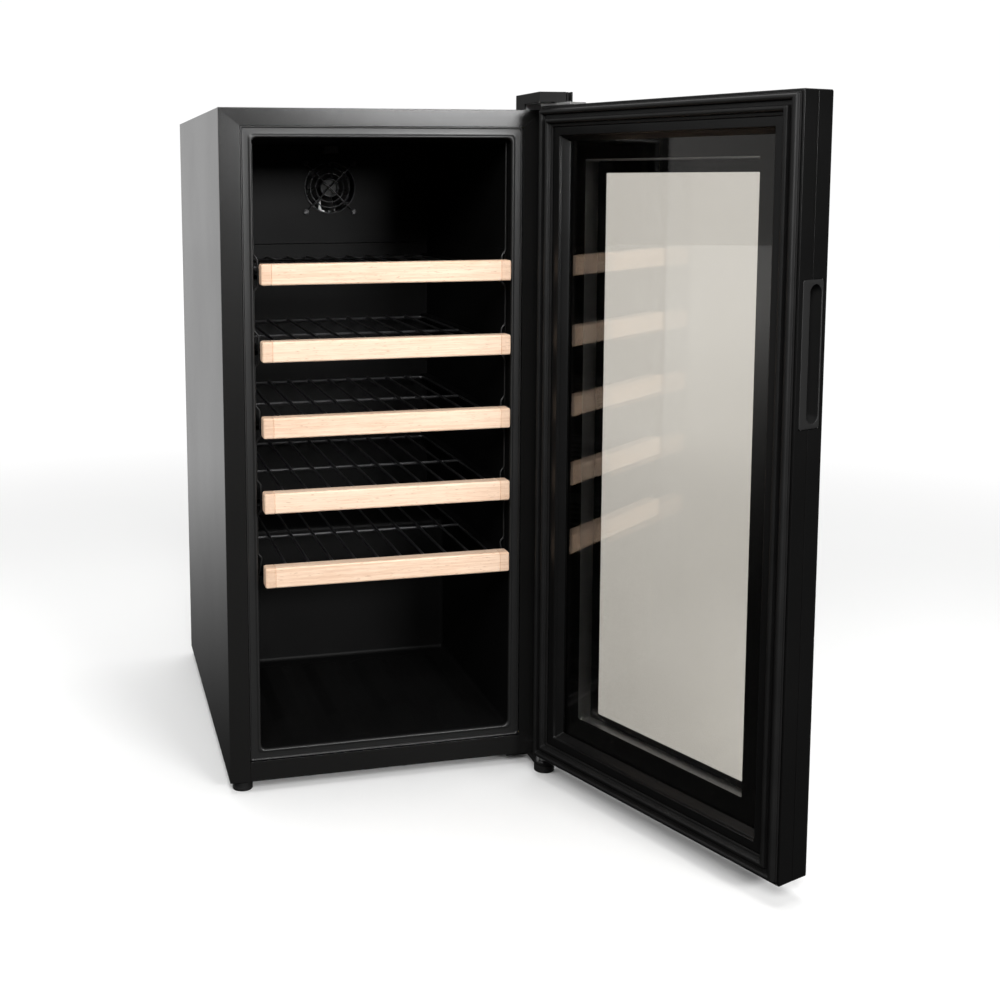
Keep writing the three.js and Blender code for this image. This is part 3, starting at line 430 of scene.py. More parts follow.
def refine(node, finish, width=0.4, segments=2, smooth=38, slotted=False):
    # a merged copy of a plain part with its edges broken
    bm = bmesh.new()
    bm.from_mesh(frame["nodes"][node].data)
    bmesh.ops.remove_doubles(bm, verts=bm.verts, dist=1e-6)
    if not slotted:
        bmesh.ops.dissolve_limit(
            bm, angle_limit=math.radians(0.6), use_dissolve_boundaries=False, verts=bm.verts, edges=bm.edges)
    if width:
        roundEdges(bm, width * mm, segments)
    body = frame["nodes"][node]["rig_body"]
    return addPiece(bm, node + "_finished", body, finish, (node,), smooth)


def bentPath(points, radius, steps=5):
    # a polyline with its corners rounded
    points = [Vector(p) for p in points]
    path = [points[0]]
    for before, here, after in zip(points, points[1:], points[2:]):
        reach = min(radius, (before - here).length * 0.45, (after - here).length * 0.45)
        start, end = here + (before - here).normalized() * reach, here + (after - here).normalized() * reach
        for step in range(steps + 1):
            t = step / steps
            path.append(start * (1 - t) ** 2 + here * 2 * t * (1 - t) + end * t ** 2)
    return path + [points[-1]]


def wireMesh(name, wires, sides=3):
    # wires are (points, radius, closed); sides is the roundness of the wire
    curve = bpy.data.curves.new(name, "CURVE")
    curve.dimensions = "3D"
    curve.bevel_depth = 1.0
    curve.bevel_resolution = sides
    curve.use_fill_caps = True
    for points, radius, closed in wires:
        spline = curve.splines.new("POLY")
        spline.points.add(len(points) - 1)
        spline.use_cyclic_u = closed
        for knot, point in zip(spline.points, points):
            knot.co = (*point, 1)
            knot.radius = radius
    holder = bpy.data.objects.new(name, curve)
    bpy.context.scene.collection.objects.link(holder)
    mesh = bpy.data.meshes.new_from_object(holder.evaluated_get(bpy.context.evaluated_depsgraph_get()))
    bpy.data.objects.remove(holder)
    return mesh


# ---- cabinet shell ----
shell = {
    "wall": 1.2, "edge": 1.6, "flange": 25, "topFlange": 20.5, "rearFlange": 12,
    "seam": 0.35, "seamDepth": 0.45,
}


def scoreFront(bm, corner, direction):
    # a fine mitre groove across the front face from an outer corner
    normal = Vector((-direction[1], 0, direction[0])).normalized()
    side = math.copysign(1, direction[0])
    reach = (shell["flange"] + 1) * mm

    def near(item):
        return all((v.co.x - corner.x) * side < reach and v.co.z > corner.z - reach
                   and abs(v.co.y - caseLow.y) < 1e-6 for v in item.verts)

    for shift in (-shell["seam"], 0, shell["seam"]):
        faces = [f for f in bm.faces if near(f)]
        geom = {item for f in faces for item in (f, *f.edges, *f.verts)}
        bmesh.ops.bisect_plane(
            bm, geom=list(geom), plane_co=corner + normal * shift * mm, plane_no=normal, dist=1e-7)
    for vert in bm.verts:
        away = vert.co - corner
        if abs(away.dot(normal)) < 1e-6 and abs(vert.co.y - caseLow.y) < 1e-6 and away.length > 3 * mm:
            vert.co.y += shell["seamDepth"] * mm


def buildCase():
    bm = addBox(caseLow, caseHigh)
    left, right = caseLow.x + shell["flange"] * mm, caseHigh.x - shell["flange"] * mm
    top = caseHigh.z - shell["topFlange"] * mm
    rearLeft, rearRight = caseLow.x + shell["rearFlange"] * mm, caseHigh.x - shell["rearFlange"] * mm
    rearTop = caseHigh.z - shell["rearFlange"] * mm

    def cutFace(y, places):
        for co, no in places:
            faces = [f for f in bm.faces if abs(f.calc_center_median().y - y) < 1e-6]
            geom = {item for f in faces for item in (f, *f.edges, *f.verts)}
            bmesh.ops.bisect_plane(bm, geom=list(geom), plane_co=co, plane_no=no, dist=1e-7)

    cutFace(caseLow.y, [((left, 0, 0), (1, 0, 0)), ((right, 0, 0), (1, 0, 0)), ((0, 0, top), (0, 0, 1))])
    cutFace(caseHigh.y, [
        ((rearLeft, 0, 0), (1, 0, 0)), ((rearRight, 0, 0), (1, 0, 0)), ((0, 0, rearTop), (0, 0, 1))])
    gone = []
    for face in bm.faces:
        c = face.calc_center_median()
        mouth = abs(c.y - caseLow.y) < 1e-6 and left < c.x < right and c.z < top
        rear = abs(c.y - caseHigh.y) < 1e-6 and rearLeft < c.x < rearRight and c.z < rearTop
        if mouth or rear or face.normal.z < -0.5:
            gone.append(face)
    bmesh.ops.delete(bm, geom=gone, context="FACES")
    flangeDrop = -shell["topFlange"] / shell["flange"]
    scoreFront(bm, Vector((caseLow.x, caseLow.y, caseHigh.z)), (1, flangeDrop))
    scoreFront(bm, Vector((caseHigh.x, caseLow.y, caseHigh.z)), (-1, flangeDrop))
    long = [e for e in bm.edges if len(e.link_faces) == 2 and e.calc_face_angle(0) > 1.2]
    roundEdges(bm, shell["edge"] * mm, 4, edges=long)
    piece = addPiece(bm, "case_wrap", "cabinet", "case", ("outer_case",))
    wall = piece.modifiers.new("wall", "SOLIDIFY")
    wall.thickness, wall.offset, wall.use_even_offset = shell["wall"] * mm, -1, False
    piece.modifiers.move(1, 0)


buildCase()
refine("front_sill", "case", 0.5)
refine("base_plate", "zinc", 0.4)

trim = {"outerCorner": 2.0}


def buildMouthTrim():
    # a rounded outer bead, a flat, and a raised inner lip
    low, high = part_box("mouth_trim")
    front, back = low.y, high.y
    profile = [
        (0.0, back, trim["outerCorner"]), (0.0, front + 0.8 * mm, 2.0), (0.5 * mm, front + 0.15 * mm, 2.0),
        (1.2 * mm, front, 2.2), (2.0 * mm, front + 0.3 * mm, 2.4), (2.6 * mm, front + 1.3 * mm, 2.8),
        (9.0 * mm, front + 1.5 * mm, 5.0), (10.0 * mm, front + 0.9 * mm, 5.6),
        (10.8 * mm, front + 0.2 * mm, 6.2),
        (12.0 * mm, front, 6.8), (13.0 * mm, front + 0.4 * mm, 7.0), (13.6 * mm, front + 1.4 * mm, 7.0),
        (13.7 * mm, back, 7.0)]
    stations = frameStations(low, high, [(inset, depth, radius * mm) for inset, depth, radius in profile])
    addPiece(loft(stations, corner=6, closed=True), "mouth_trim_moulding", "cabinet", "trim",
             ("mouth_trim",))


buildMouthTrim()
print("cabinet shell made")


# ---- inner liner: pressed tub with ribs in its floor ----
liner = {
    "wall": 2.5, "corner": 6, "ribCount": 4, "ribWide": 52, "ribGap": 18, "ribHigh": 6.5, "ribSlope": 14,
    "ribFront": 16, "ribFrontSlope": 70, "ribBack": 22, "rim": 16,
}


def buildLiner():
    low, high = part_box("inner_liner")
    wall = liner["wall"] * mm
    halfWide = (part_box("evaporator_cover")[1].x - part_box("evaporator_cover")[0].x) / 2 + 0.3 * mm
    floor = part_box("rear_duct_panel")[0].z
    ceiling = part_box("evaporator_cover")[1].z + 0.3 * mm
    stepTop = floor - 0.3 * mm
    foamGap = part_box("front_sill")[1].z + 12 * mm
    stepBack = high.y - wall
    ys = sorted({round(v.co.y, 5) for v in frame["nodes"]["inner_liner"].data.vertices})
    stepY = [y for y in ys if y < stepBack - 0.1][-2]
    x0, x1 = middleX - halfWide, middleX + halfWide
    bm = addBox((x0, low.y, foamGap), (x1, stepY, ceiling))
    geom = bm.verts[:] + bm.edges[:] + bm.faces[:]
    bmesh.ops.bisect_plane(bm, geom=geom, plane_co=(0, 0, stepTop), plane_no=(0, 0, 1), dist=1e-7)
    upper = [f for f in bm.faces if f.normal.y > 0.5 and f.calc_center_median().z > stepTop]
    pulled = bmesh.ops.extrude_face_region(bm, geom=upper)["geom"]
    moved = [v for v in pulled if isinstance(v, bmesh.types.BMVert)]
    bmesh.ops.translate(bm, vec=(0, stepBack - stepY, 0), verts=moved)
    bmesh.ops.delete(bm, geom=upper, context="FACES")
    front = [f for f in bm.faces if f.normal.y < -0.5 and abs(f.calc_center_median().y - low.y) < 1e-6]
    bmesh.ops.delete(bm, geom=front, context="FACES")
    bmesh.ops.dissolve_limit(bm, angle_limit=0.01, verts=bm.verts, edges=bm.edges)
    inner = [e for e in bm.edges if len(e.link_faces) == 2 and e.calc_face_angle(0) > 1.0]
    roundEdges(bm, liner["corner"] * mm, 5, edges=inner)
    pressRibs(bm, foamGap, low.y, stepY)
    rim = [e for e in bm.edges if e.is_boundary]
    middle = Vector(((x0 + x1) / 2, low.y, (foamGap + ceiling) / 2))
    outward = bmesh.ops.extrude_edge_only(bm, edges=rim)["geom"]
    for vert in [v for v in outward if isinstance(v, bmesh.types.BMVert)]:
        vert.co.x += math.copysign(min(liner["rim"] * mm, high.x - x1), vert.co.x - middle.x)
        vert.co.z += liner["rim"] * mm if vert.co.z > middle.z else -0.7 * liner["rim"] * mm
    bmesh.ops.reverse_faces(bm, faces=bm.faces)
    piece = addPiece(bm, "liner_tub", "cabinet", "liner", ("inner_liner",), normals=False)
    solid = piece.modifiers.new("wall", "SOLIDIFY")
    solid.thickness, solid.offset = wall, -1
    piece.modifiers.move(1, 0)


def pressRibs(bm, floor, front, back):
    pitch = (liner["ribWide"] + liner["ribGap"]) * mm
    slope = liner["ribSlope"] * mm
    y0, y1 = front + liner["ribFront"] * mm, back - liner["ribBack"] * mm
    top = y0 + liner["ribFrontSlope"] * mm
    spans = []
    for index in range(liner["ribCount"]):
        centre = middleX + (index - (liner["ribCount"] - 1) / 2) * pitch
        spans.append((centre - liner["ribWide"] * mm / 2, centre + liner["ribWide"] * mm / 2))
    planes = [((x, 0, 0), (1, 0, 0))
              for a, b in spans for x in (a, a + slope, b - slope, b)]
    planes += [((0, y, 0), (0, 1, 0)) for y in (y0, top, y1 - slope, y1)]
    for co, no in planes:
        faces = [f for f in bm.faces if all(abs(v.co.z - floor) < 1e-6 for v in f.verts)]
        geom = {item for f in faces for item in (f, *f.edges, *f.verts)}
        bmesh.ops.bisect_plane(bm, geom=list(geom), plane_co=co, plane_no=no, dist=1e-7)
    raised = [v for v in bm.verts if abs(v.co.z - floor) < 1e-6 and top - 1e-6 < v.co.y < y1 - slope + 1e-6
              and any(a + slope - 1e-6 < v.co.x < b - slope + 1e-6 for a, b in spans)]
    bmesh.ops.translate(bm, vec=(0, 0, liner["ribHigh"] * mm), verts=raised)
    folds = [e for e in bm.edges if len(e.link_faces) == 2 and 0.05 < e.calc_face_angle(0) < 1.0
             and all(abs(v.co.z - floor) < 10 * mm and y0 - 1e-5 < v.co.y < y1 + 1e-5 for v in e.verts)
             and all(spans[0][0] - 1e-5 < v.co.x < spans[-1][1] + 1e-5 for v in e.verts)]
    roundEdges(bm, 2.5 * mm, 3, edges=folds)


buildLiner()
refine("evaporator_cover", "liner", 0.6, 3)
refine("rear_duct_panel", "liner", 0.6, 3)
refine("left_shelf_panel", "liner", 0.35)
refine("right_shelf_panel", "liner", 0.35)
refine("interior_lamp", "lens", 1.2, 4)
refine("insulation_foam", "foam", 0)
refine("evaporator", "aluminium", 0)
refine("fan_frame", "plastic", 0)
print("liner made")


# ---- circulation fan ----
fan = {
    "rings": 4, "inner": 13, "outer": 37.5, "wire": 0.95, "leg": 1.15, "screws": 71.5, "eye": 3.4,
    "blades": 7, "hub": 15, "pitch": 38, "camber": 0.22,
}


def circlePath(centre, radius, steps=56):
    return [centre + Vector((math.cos(a), 0, math.sin(a))) * radius
            for a in (2 * math.pi * step / steps for step in range(steps))]


def buildFanGuard():
    low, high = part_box("fan_guard")
    centre = Vector(((low.x + high.x) / 2, high.y - fan["wire"] * mm, (low.z + high.z) / 2))
    wires = []
    for index in range(fan["rings"]):
        radius = fan["inner"] + index * (fan["outer"] - fan["inner"]) / (fan["rings"] - 1)
        wires.append((circlePath(centre, radius * mm), fan["wire"] * mm, True))
    reach = fan["screws"] / 2
    forward = Vector((0, -1.7 * mm, 0))
    for sx in (-1, 1):
        ends = [centre + Vector((sx * side * reach, 0, side * reach)) * mm for side in (-1, 1)]
        inset = [end + (centre - end).normalized() * 5 * mm for end in ends]
        shoulder = [point + (centre - point).normalized() * 6 * mm + forward for point in inset]
        path = bentPath([inset[0], shoulder[0], shoulder[1], inset[1]], 3 * mm)
        wires.append((path, fan["leg"] * mm, False))
        for end in ends:
            wires.append((circlePath(end, fan["eye"] * mm, 20), fan["leg"] * mm, True))
    name = "fan_guard_wires"
    addMesh(wireMesh(name, wires), name, "cabinet", "wire", ("fan_guard",))
    head = [(0, -0.4), (2.2, -0.4), (2.9, 0.2), (3.1, 1.0), (3.1, 1.5), (1.6, 1.5), (1.6, 9), (0, 9)]
    bm = bmesh.new()
    for sx in (-1, 1):
        for sz in (-1, 1):
            place = centre + Vector((sx * reach * mm, -2.0 * mm, sz * reach * mm))
            turned([(r * mm, -h * mm) for r, h in head], place, "Y", 20, bm)
    addPiece(bm, "fan_guard_screws", "cabinet", "wire")


def buildFanRotor():
    low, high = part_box("fan_rotor")
    centre = (low + high) / 2
    depth, reach = (high.y - low.y), (high.z - low.z) / 2
    hub = fan["hub"] * mm
    half = depth / 2
    bm = turned([
        (0, half - 0.2 * mm), (hub - 3 * mm, half), (hub - 0.8 * mm, half - 0.7 * mm), (hub, half - 3 * mm),
        (hub, -half), (hub - 2 * mm, -half), (0, -half)], (0, 0, 0), "Z", 48)
    for index in range(fan["blades"]):
        made = bmesh.ops.create_grid(bm, x_segments=8, y_segments=6, size=0.5)["verts"]
        for vert in made:
            along, across = vert.co.x + 0.5, vert.co.y
            radius = hub - 1 * mm + along * (reach - hub - 1 * mm)
            pitch = math.radians(fan["pitch"] - 14 * along)
            chord = depth * (1.02 + 0.25 * along)
            sweep = (across * chord * math.cos(pitch) / radius) + 0.22 * along
            lift = across * chord * math.sin(pitch) + fan["camber"] * chord * (0.25 - across * across)
            lift = max(-half + 0.5 * mm, min(half - 0.9 * mm, lift))
            angle = 2 * math.pi * index / fan["blades"] + sweep
            vert.co = (radius * math.cos(angle), radius * math.sin(angle), lift)
        faces = list({face for vert in made for face in vert.link_faces})
        bmesh.ops.recalc_face_normals(bm, faces=faces)
        bmesh.ops.solidify(bm, geom=faces, thickness=1.1 * mm)
    place = Matrix.Translation(centre) @ Matrix.Rotation(math.pi / 2, 4, "X")
    bmesh.ops.transform(bm, matrix=place, verts=bm.verts)
    addPiece(bm, "fan_rotor_blades", "fan", "plastic", ("fan_rotor",))


buildFanGuard()
buildFanRotor()
print("fan made")


# ---- shelves ----
board = {"edge": 2.4, "joint": 12.5, "jointWide": 0.45, "jointDeep": 0.8, "plug": 1.9}
rack = {"side": 2.0, "cross": 2.0, "long": 1.6, "crossWires": 3, "longWires": 9, "lift": 2.6}


def buildBoard(number):
    low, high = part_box(f"shelf_{number}_front")
    bm = addBox(low, high)
    roundEdges(bm, board["edge"] * mm, 4)
    axis = (low + high) / 2
    for place in (low.x + board["joint"] * mm, high.x - board["joint"] * mm):
        for shift in (-board["jointWide"], 0, board["jointWide"]):
            geom = bm.verts[:] + bm.edges[:] + bm.faces[:]
            cut = (place + shift * mm, 0, 0)
            bmesh.ops.bisect_plane(bm, geom=geom, plane_co=cut, plane_no=(1, 0, 0), dist=1e-7)
        groove = [v for v in bm.verts if abs(v.co.x - place) < 1e-6]
        shrink = 1 - board["jointDeep"] * mm / (high.y - axis.y)
        middle = Matrix.Translation(-Vector((place, axis.y, axis.z)))
        bmesh.ops.scale(bm, vec=(1, shrink, shrink), space=middle, verts=groove)
    half = board["joint"] * mm / 2
    left, right = low.x + half, high.x - half
    for x, z in ((left, low.z + 7 * mm), (right, low.z + 9 * mm), (right, high.z - 8 * mm)):
        before = set(bm.faces)
        r = board["plug"]
        dome = [(0, 0.12), (r * 0.7, 0.1), (r, 0), (r, -2), (0, -2)]
        turned([(a * mm, b * mm) for a, b in dome], (x, low.y, z), "Y", 20, bm)
        for face in set(bm.faces) - before:
            face.material_index = 1
    shelf = f"shelf_{number}"
    addPiece(bm, shelf + "_board", shelf, ("beech", "plug"), (shelf + "_front",))


def buildRack(number):
    low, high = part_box(f"shelf_{number}_rack")
    level = low.z + rack["side"] * mm
    side, cross, thin = rack["side"] * mm, rack["cross"] * mm, rack["long"] * mm
    x0, x1 = low.x + side, high.x - side
    front, back = low.y, high.y
    rim = [(x0, front, level), (x0, back - side, level), (x1, back - side, level), (x1, front, level)]
    wires = [(bentPath(rim, 9 * mm), side, False)]
    for index in range(rack["crossWires"] - 1):
        y = front + 9 * mm + index * (back - front - 18 * mm) / (rack["crossWires"] - 1)
        wires.append(([Vector((x0, y, level)), Vector((x1, y, level))], cross, False))
    pitch = (x1 - x0) / (rack["longWires"] + 1)
    over = level + rack["lift"] * mm
    for index in range(1, rack["longWires"] + 1):
        x = x0 + index * pitch
        knots = [(x, front, over), (x, back - 5 * mm, over), (x, back - thin, level - 0.4 * mm)]
        wires.append((bentPath(knots, 4 * mm, 3), thin, False))
    shelf = f"shelf_{number}"
    name = shelf + "_wires"
    addMesh(wireMesh(name, wires, 2), name, shelf, "wire", (shelf + "_rack",))


def buildRailBead(node, name, inward):
    # the panel's rolled front edge, with a hook above each shelf
    low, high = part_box(node)
    x = high.x - 1.6 * mm if inward < 0 else low.x + 1.6 * mm
    y = low.y - 0.6 * mm
    points = [(x, y, low.z + 1 * mm)]
    for number in range(5, 0, -1):
        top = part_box(f"shelf_{number}_front")[1].z
        for away, up in ((0, -34), (5, -29), (5, 4), (0, 10)):
            if top + up * mm > points[-1][2] + 2 * mm:
                points.append((x + inward * away * mm, y, top + up * mm))
    points.append((x, y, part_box("evaporator_cover")[1].z - 4 * mm))
    path = bentPath(points, 2.2 * mm, 3)
    addMesh(wireMesh(name, [(path, 1.1 * mm, False)]), name, "cabinet", "trim")


shelfNumbers = range(1, 6)
for shelfNumber in shelfNumbers:
    buildBoard(shelfNumber)
    buildRack(shelfNumber)
buildRailBead("left_shelf_panel", "left_rail_bead", 1)
buildRailBead("right_shelf_panel", "right_rail_bead", -1)
print("shelves made")


# ---- door: worked out shut, then swung to where the frame has it ----
doorOpenAngle = 110
hingeLine = Vector((joints["door_hinge"]["pos_m"][0], joints["door_hinge"]["pos_m"][1], 0))
doorSwing = (Matrix.Translation(hingeLine) @ Matrix.Rotation(math.radians(doorOpenAngle), 4, "Z")
             @ Matrix.Translation(-hingeLine))


def shutBox(node):
    back = doorSwing.inverted()
    points = [back @ v.co for v in frame["nodes"][node].data.vertices]
    low = Vector([min(p[i] for p in points) for i in range(3)])
    high = Vector([max(p[i] for p in points) for i in range(3)])
    return low, high


def addDoorPiece(bm, name, finish, replaced=(), smooth=38):
    bmesh.ops.transform(bm, matrix=doorSwing, verts=bm.verts)
    return addPiece(bm, name, "door", finish, replaced, smooth)


doorFrame = {"edge": 0.9, "corner": 2.0, "railOuter": 56, "lip": 1.7, "windowInset": 44}
gasketWide = 22 * mm
gasket = {"ridge": 3.0, "ridges": (4.6, 15.4)}
prints = {
    "thick": 0.12, "outerSide": 79, "outerBottom": 73.5, "outerTop": 79.8,
    "innerSide": 66.5, "innerBottom": 68.5, "innerTop": 63.8,
}


def buildDoorFrames():
    low, high = shutBox("door_outer_frame")
    front, back, edge = low.y, high.y, doorFrame["edge"] * mm
    corner = doorFrame["corner"] * mm
    handleLow, handleHigh = shutBox("handle_insert")
    gap = 0.3 * mm
    pocket = (handleLow - Vector((5 * mm, gap, gap)), handleHigh + Vector((gap, gap, gap)))
    lip, rail = doorFrame["lip"] * mm, doorFrame["railOuter"] * mm
    seat = shutBox("outer_glass")[1].y + gap
    outer = [
        (0, front + edge, corner), (0.3 * edge, front + 0.3 * edge, corner), (edge, front, corner),
        (lip, front, 1 * mm), (lip, seat, 1 * mm), (rail, seat, 1 * mm), (rail, back, 1 * mm),
        (edge, back, corner), (0.3 * edge, back - 0.3 * edge, corner), (0, back - edge, corner)]
    bm = loft(frameStations(low, high, outer), corner=5, closed=True)
    addDoorPiece(
        carve(bm, *pocket), "outer_frame_moulding", "moulding", ("door_outer_frame",))

    low, high = shutBox("door_inner_frame")
    front, back = low.y, high.y
    gasketLow = shutBox("door_gasket")[0]
    gasketRange = (gasketLow.x - low.x, gasketLow.x - low.x + gasketWide)
    glassFace = shutBox("inner_glass")[1].y + gap
    seatSide = (doorFrame["windowInset"] - 3) * mm - gap
    land, seam = gasketRange[1] + 0.8 * mm, 0.5 * mm
    section = [
        (0, front + seam, 2.0), (0, back - 1.2 * mm, 2.0), (0.35 * mm, back - 0.35 * mm, 2.0),
        (1.2 * mm, back, 2.0),
        (gasketRange[0] - 0.6 * mm, back, 2.0), (gasketRange[0] - 0.3 * mm, back - 1.3 * mm, 2.0),
        (land - 0.5 * mm, back - 1.3 * mm, 1.5), (land - 0.2 * mm, back - 0.3 * mm, 1.5),
        (land + 0.4 * mm, back, 1.5),
        (34.6 * mm, back, 1.5), (35.4 * mm, back - 0.25 * mm, 1.4), (35.9 * mm, back - 0.9 * mm, 1.3),
        (36.2 * mm, back - 3.4 * mm, 1.2), (36.7 * mm, back - 4.0 * mm, 1.1),
        (37.6 * mm, back - 4.3 * mm, 1.0),
        (41.6 * mm, back - 10.4 * mm, 0.8), (42.0 * mm, back - 11.1 * mm, 0.6),
        (42.3 * mm, glassFace, 0.5), (seatSide, glassFace, 0.5), (seatSide, front, 0.5), (seam, front, 2.0)]
    bm = loft(frameStations(low, high, [(a, b, r * mm) for a, b, r in section]), corner=5, closed=True)
    addDoorPiece(
        carve(bm, *pocket), "inner_frame_moulding", "moulding", ("door_inner_frame",))


def buildGlass(node, name, printInsets, printDepth):
    low, high = shutBox(node)
    edge = 0.5 * mm
    doorLow, doorHigh = shutBox("door_outer_frame")
    sections = [(edge, low.y, 1), (0, low.y + edge, 1), (0, high.y - edge, 1), (edge, high.y, 1)]
    bm = loft(frameStations(low, high, [(a, b, r * mm) for a, b, r in sections]), corner=3)
    addDoorPiece(bm, name + "_pane", "glass", (node,), smooth=12)
    side, bottom, top = (inset * mm for inset in printInsets)
    clear = ((doorLow.x + side, doorHigh.x - side), (doorLow.z + bottom, doorHigh.z - top))
    whole = ((low.x + edge, high.x - edge), (low.z + edge, high.z - edge))
    near, far = printDepth, printDepth - prints["thick"] * mm
    ring = [(*whole, near, mm), (*clear, near, mm), (*clear, far, mm), (*whole, far, mm)]
    addDoorPiece(loft(ring, corner=3, closed=True), name + "_border", "print", smooth=12)


def arcProfile(centre, radius, start, end, steps=7):
    return [(centre[0] - radius * math.cos(a), centre[1] + radius * math.sin(a))
            for a in (math.radians(start + (end - start) * step / steps) for step in range(steps + 1))]


def buildGasket():
    # a foot strip carrying two soft ridges, mitred at the corners
    low, high = shutBox("door_gasket")
    base, top = low.y, high.y
    tall = (top - base) / mm
    ridge = gasket["ridge"]
    outline = [(0, 0), (0, 1.4), (0.5, 1.9)]
    for centre in gasket["ridges"]:
        outline += [(centre - ridge - 0.5, 1.9)]
        outline += arcProfile((centre, tall - ridge), ridge, -12, 192)
        outline += [(centre + ridge + 0.5, 1.9)]
    outline += [(21.5, 1.9), (22, 1.4), (22, 0)]
    section = [(inset * mm, base + depth * mm, 1.0 * mm) for inset, depth in outline]
    bm = loft(frameStations(low, high, section), corner=2, closed=True)
    addDoorPiece(bm, "gasket_profile", "rubber", ("door_gasket",))


def buildSpacer():
    low, high = shutBox("glass_spacer")
    wide, bead = 9 * mm, 0.8 * mm
    section = [
        (0, low.y + bead), (bead, low.y), (wide - bead, low.y), (wide, low.y + bead),
        (wide, high.y - bead), (wide - bead, high.y), (bead, high.y), (0, high.y - bead)]
    stations = frameStations(low, high, [(a, b, 1.5 * mm) for a, b in section])
    bm = loft(stations, corner=4, closed=True)
    addDoorPiece(bm, "spacer_profile", "aluminium", ("glass_spacer",))


handle = {"plateCorner": 3.2, "round": 0.9, "slotWide": 17, "slotLong": 140, "slotDeep": 23, "margin": 2.7}


def buildHandle():
    low, high = shutBox("handle_insert")
    face, rounding = low.x, handle["round"] * mm
    middle = (low.z + high.z) / 2
    slotFront = low.y + handle["margin"] * mm
    slotBack = slotFront + handle["slotWide"] * mm
    reach = handle["slotLong"] * mm / 2
    corner, slotCorner = handle["plateCorner"] * mm, handle["slotWide"] * mm / 2

    def plate(inset, depth):
        across, along = (low.y + inset, high.y - inset), (low.z + inset, high.z - inset)
        return (across, along, face + depth, corner - inset)

    def slot(inset, depth):
        return ((slotFront + inset, slotBack - inset), (middle - reach + inset, middle + reach - inset),
                face + depth, slotCorner - inset)

    deep = handle["slotDeep"] * mm
    stations = [
        plate(0, high.x - face), plate(0, rounding),
        plate(0.3 * rounding, 0.3 * rounding), plate(rounding, 0),
        slot(-rounding, 0), slot(-0.3 * rounding, 0.3 * rounding), slot(0, rounding),
        slot(0.6 * mm, deep - 3 * mm), slot(3 * mm, deep)]
    bm = loft(stations, "side", corner=9)
    addDoorPiece(bm, "handle_moulding", "plastic", ("handle_insert",))


buildDoorFrames()
innerGlassFront = shutBox("inner_glass")[0].y
outerGlassBack = shutBox("outer_glass")[1].y
buildGlass("outer_glass", "outer_glass", [prints[k] for k in ("outerSide", "outerBottom", "outerTop")],
           outerGlassBack + 0.2 * mm)
buildGlass("inner_glass", "inner_glass", [prints[k] for k in ("innerSide", "innerBottom", "innerTop")],
           innerGlassFront - 0.06 * mm)
buildGasket()
buildSpacer()
buildHandle()
for node in ("top_hinge_arm", "bottom_hinge_arm"):
    refine(node, "zinc", 0.4)
for node in ("top_hinge_bush", "bottom_hinge_bush"):
    refine(node, "plastic", 0.25)
print("door made")


# ---- hinges, feet, rear ----
refine("top_hinge_bracket", "zinc", 0.4)
refine("bottom_hinge_bracket", "case", 0.5)
refine("top_hinge_cover", "cover", 0.5, 3)
refine("top_hinge_pin", "zinc", 0.3)
refine("bottom_hinge_pin", "zinc", 0.3)
refine("top_hinge_screw_1", "zinc", 0.3)
refine("top_hinge_screw_2", "zinc", 0.3)


def buildFoot(node, body):
    # a ribbed grip above a sole, which is rubber on the real foot; the whole piece takes the plastic finish
    low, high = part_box(node)
    radius, tall = (high.x - low.x) / 2, high.z - low.z
    sole = min(tall, 12 * mm)
    profile = [(0, 0.4 * mm), (radius * 0.7, 0), (radius - 1.2 * mm, 0), (radius - 0.3 * mm, 0.5 * mm),
               (radius, 1.4 * mm), (radius, sole * 0.34)]
    ribs = 3
    for index in range(ribs):
        z = sole * (0.38 + 0.5 * index / ribs)
        profile += [
            (radius - 0.7 * mm, z), (radius - 0.7 * mm, z + 0.5 * mm), (radius - 0.1 * mm, z + 0.9 * mm),
            (radius - 0.1 * mm, z + sole * 0.5 / ribs - 0.2 * mm)]
    profile += [(radius - 1.6 * mm, sole * 0.97), (4 * mm, sole), (4 * mm, tall), (0, tall)]
    centre = Vector(((low.x + high.x) / 2, (low.y + high.y) / 2, low.z))
    addPiece(turned(profile, centre, "Z", 48), node + "_turned", body, "plastic", (node,))


buildFoot("front_left_foot", "left_foot")
buildFoot("front_right_foot", "right_foot")
buildFoot("rear_left_foot", "cabinet")
buildFoot("rear_right_foot", "cabinet")
refine("compartment_cover", "case", 0.2, 1, slotted=True)
refine("power_inlet", "plastic", 0.4)
refine("compressor", "plastic", 0)
for index in range(1, 5):
    refine(f"compressor_grommet_{index}", "rubber", 0)
refine("start_relay_box", "plastic", 1.5, 3)
refine("filter_drier", "copper", 0)
refine("condenser_coil", "wire", 0, smooth=60)
refine("evaporation_tray", "plastic", 0.6)

backSheet = {"border": 16, "slope": 5, "sink": 1.0, "screw": 3.6, "screwInset": 8, "columns": 3, "rows": 5}


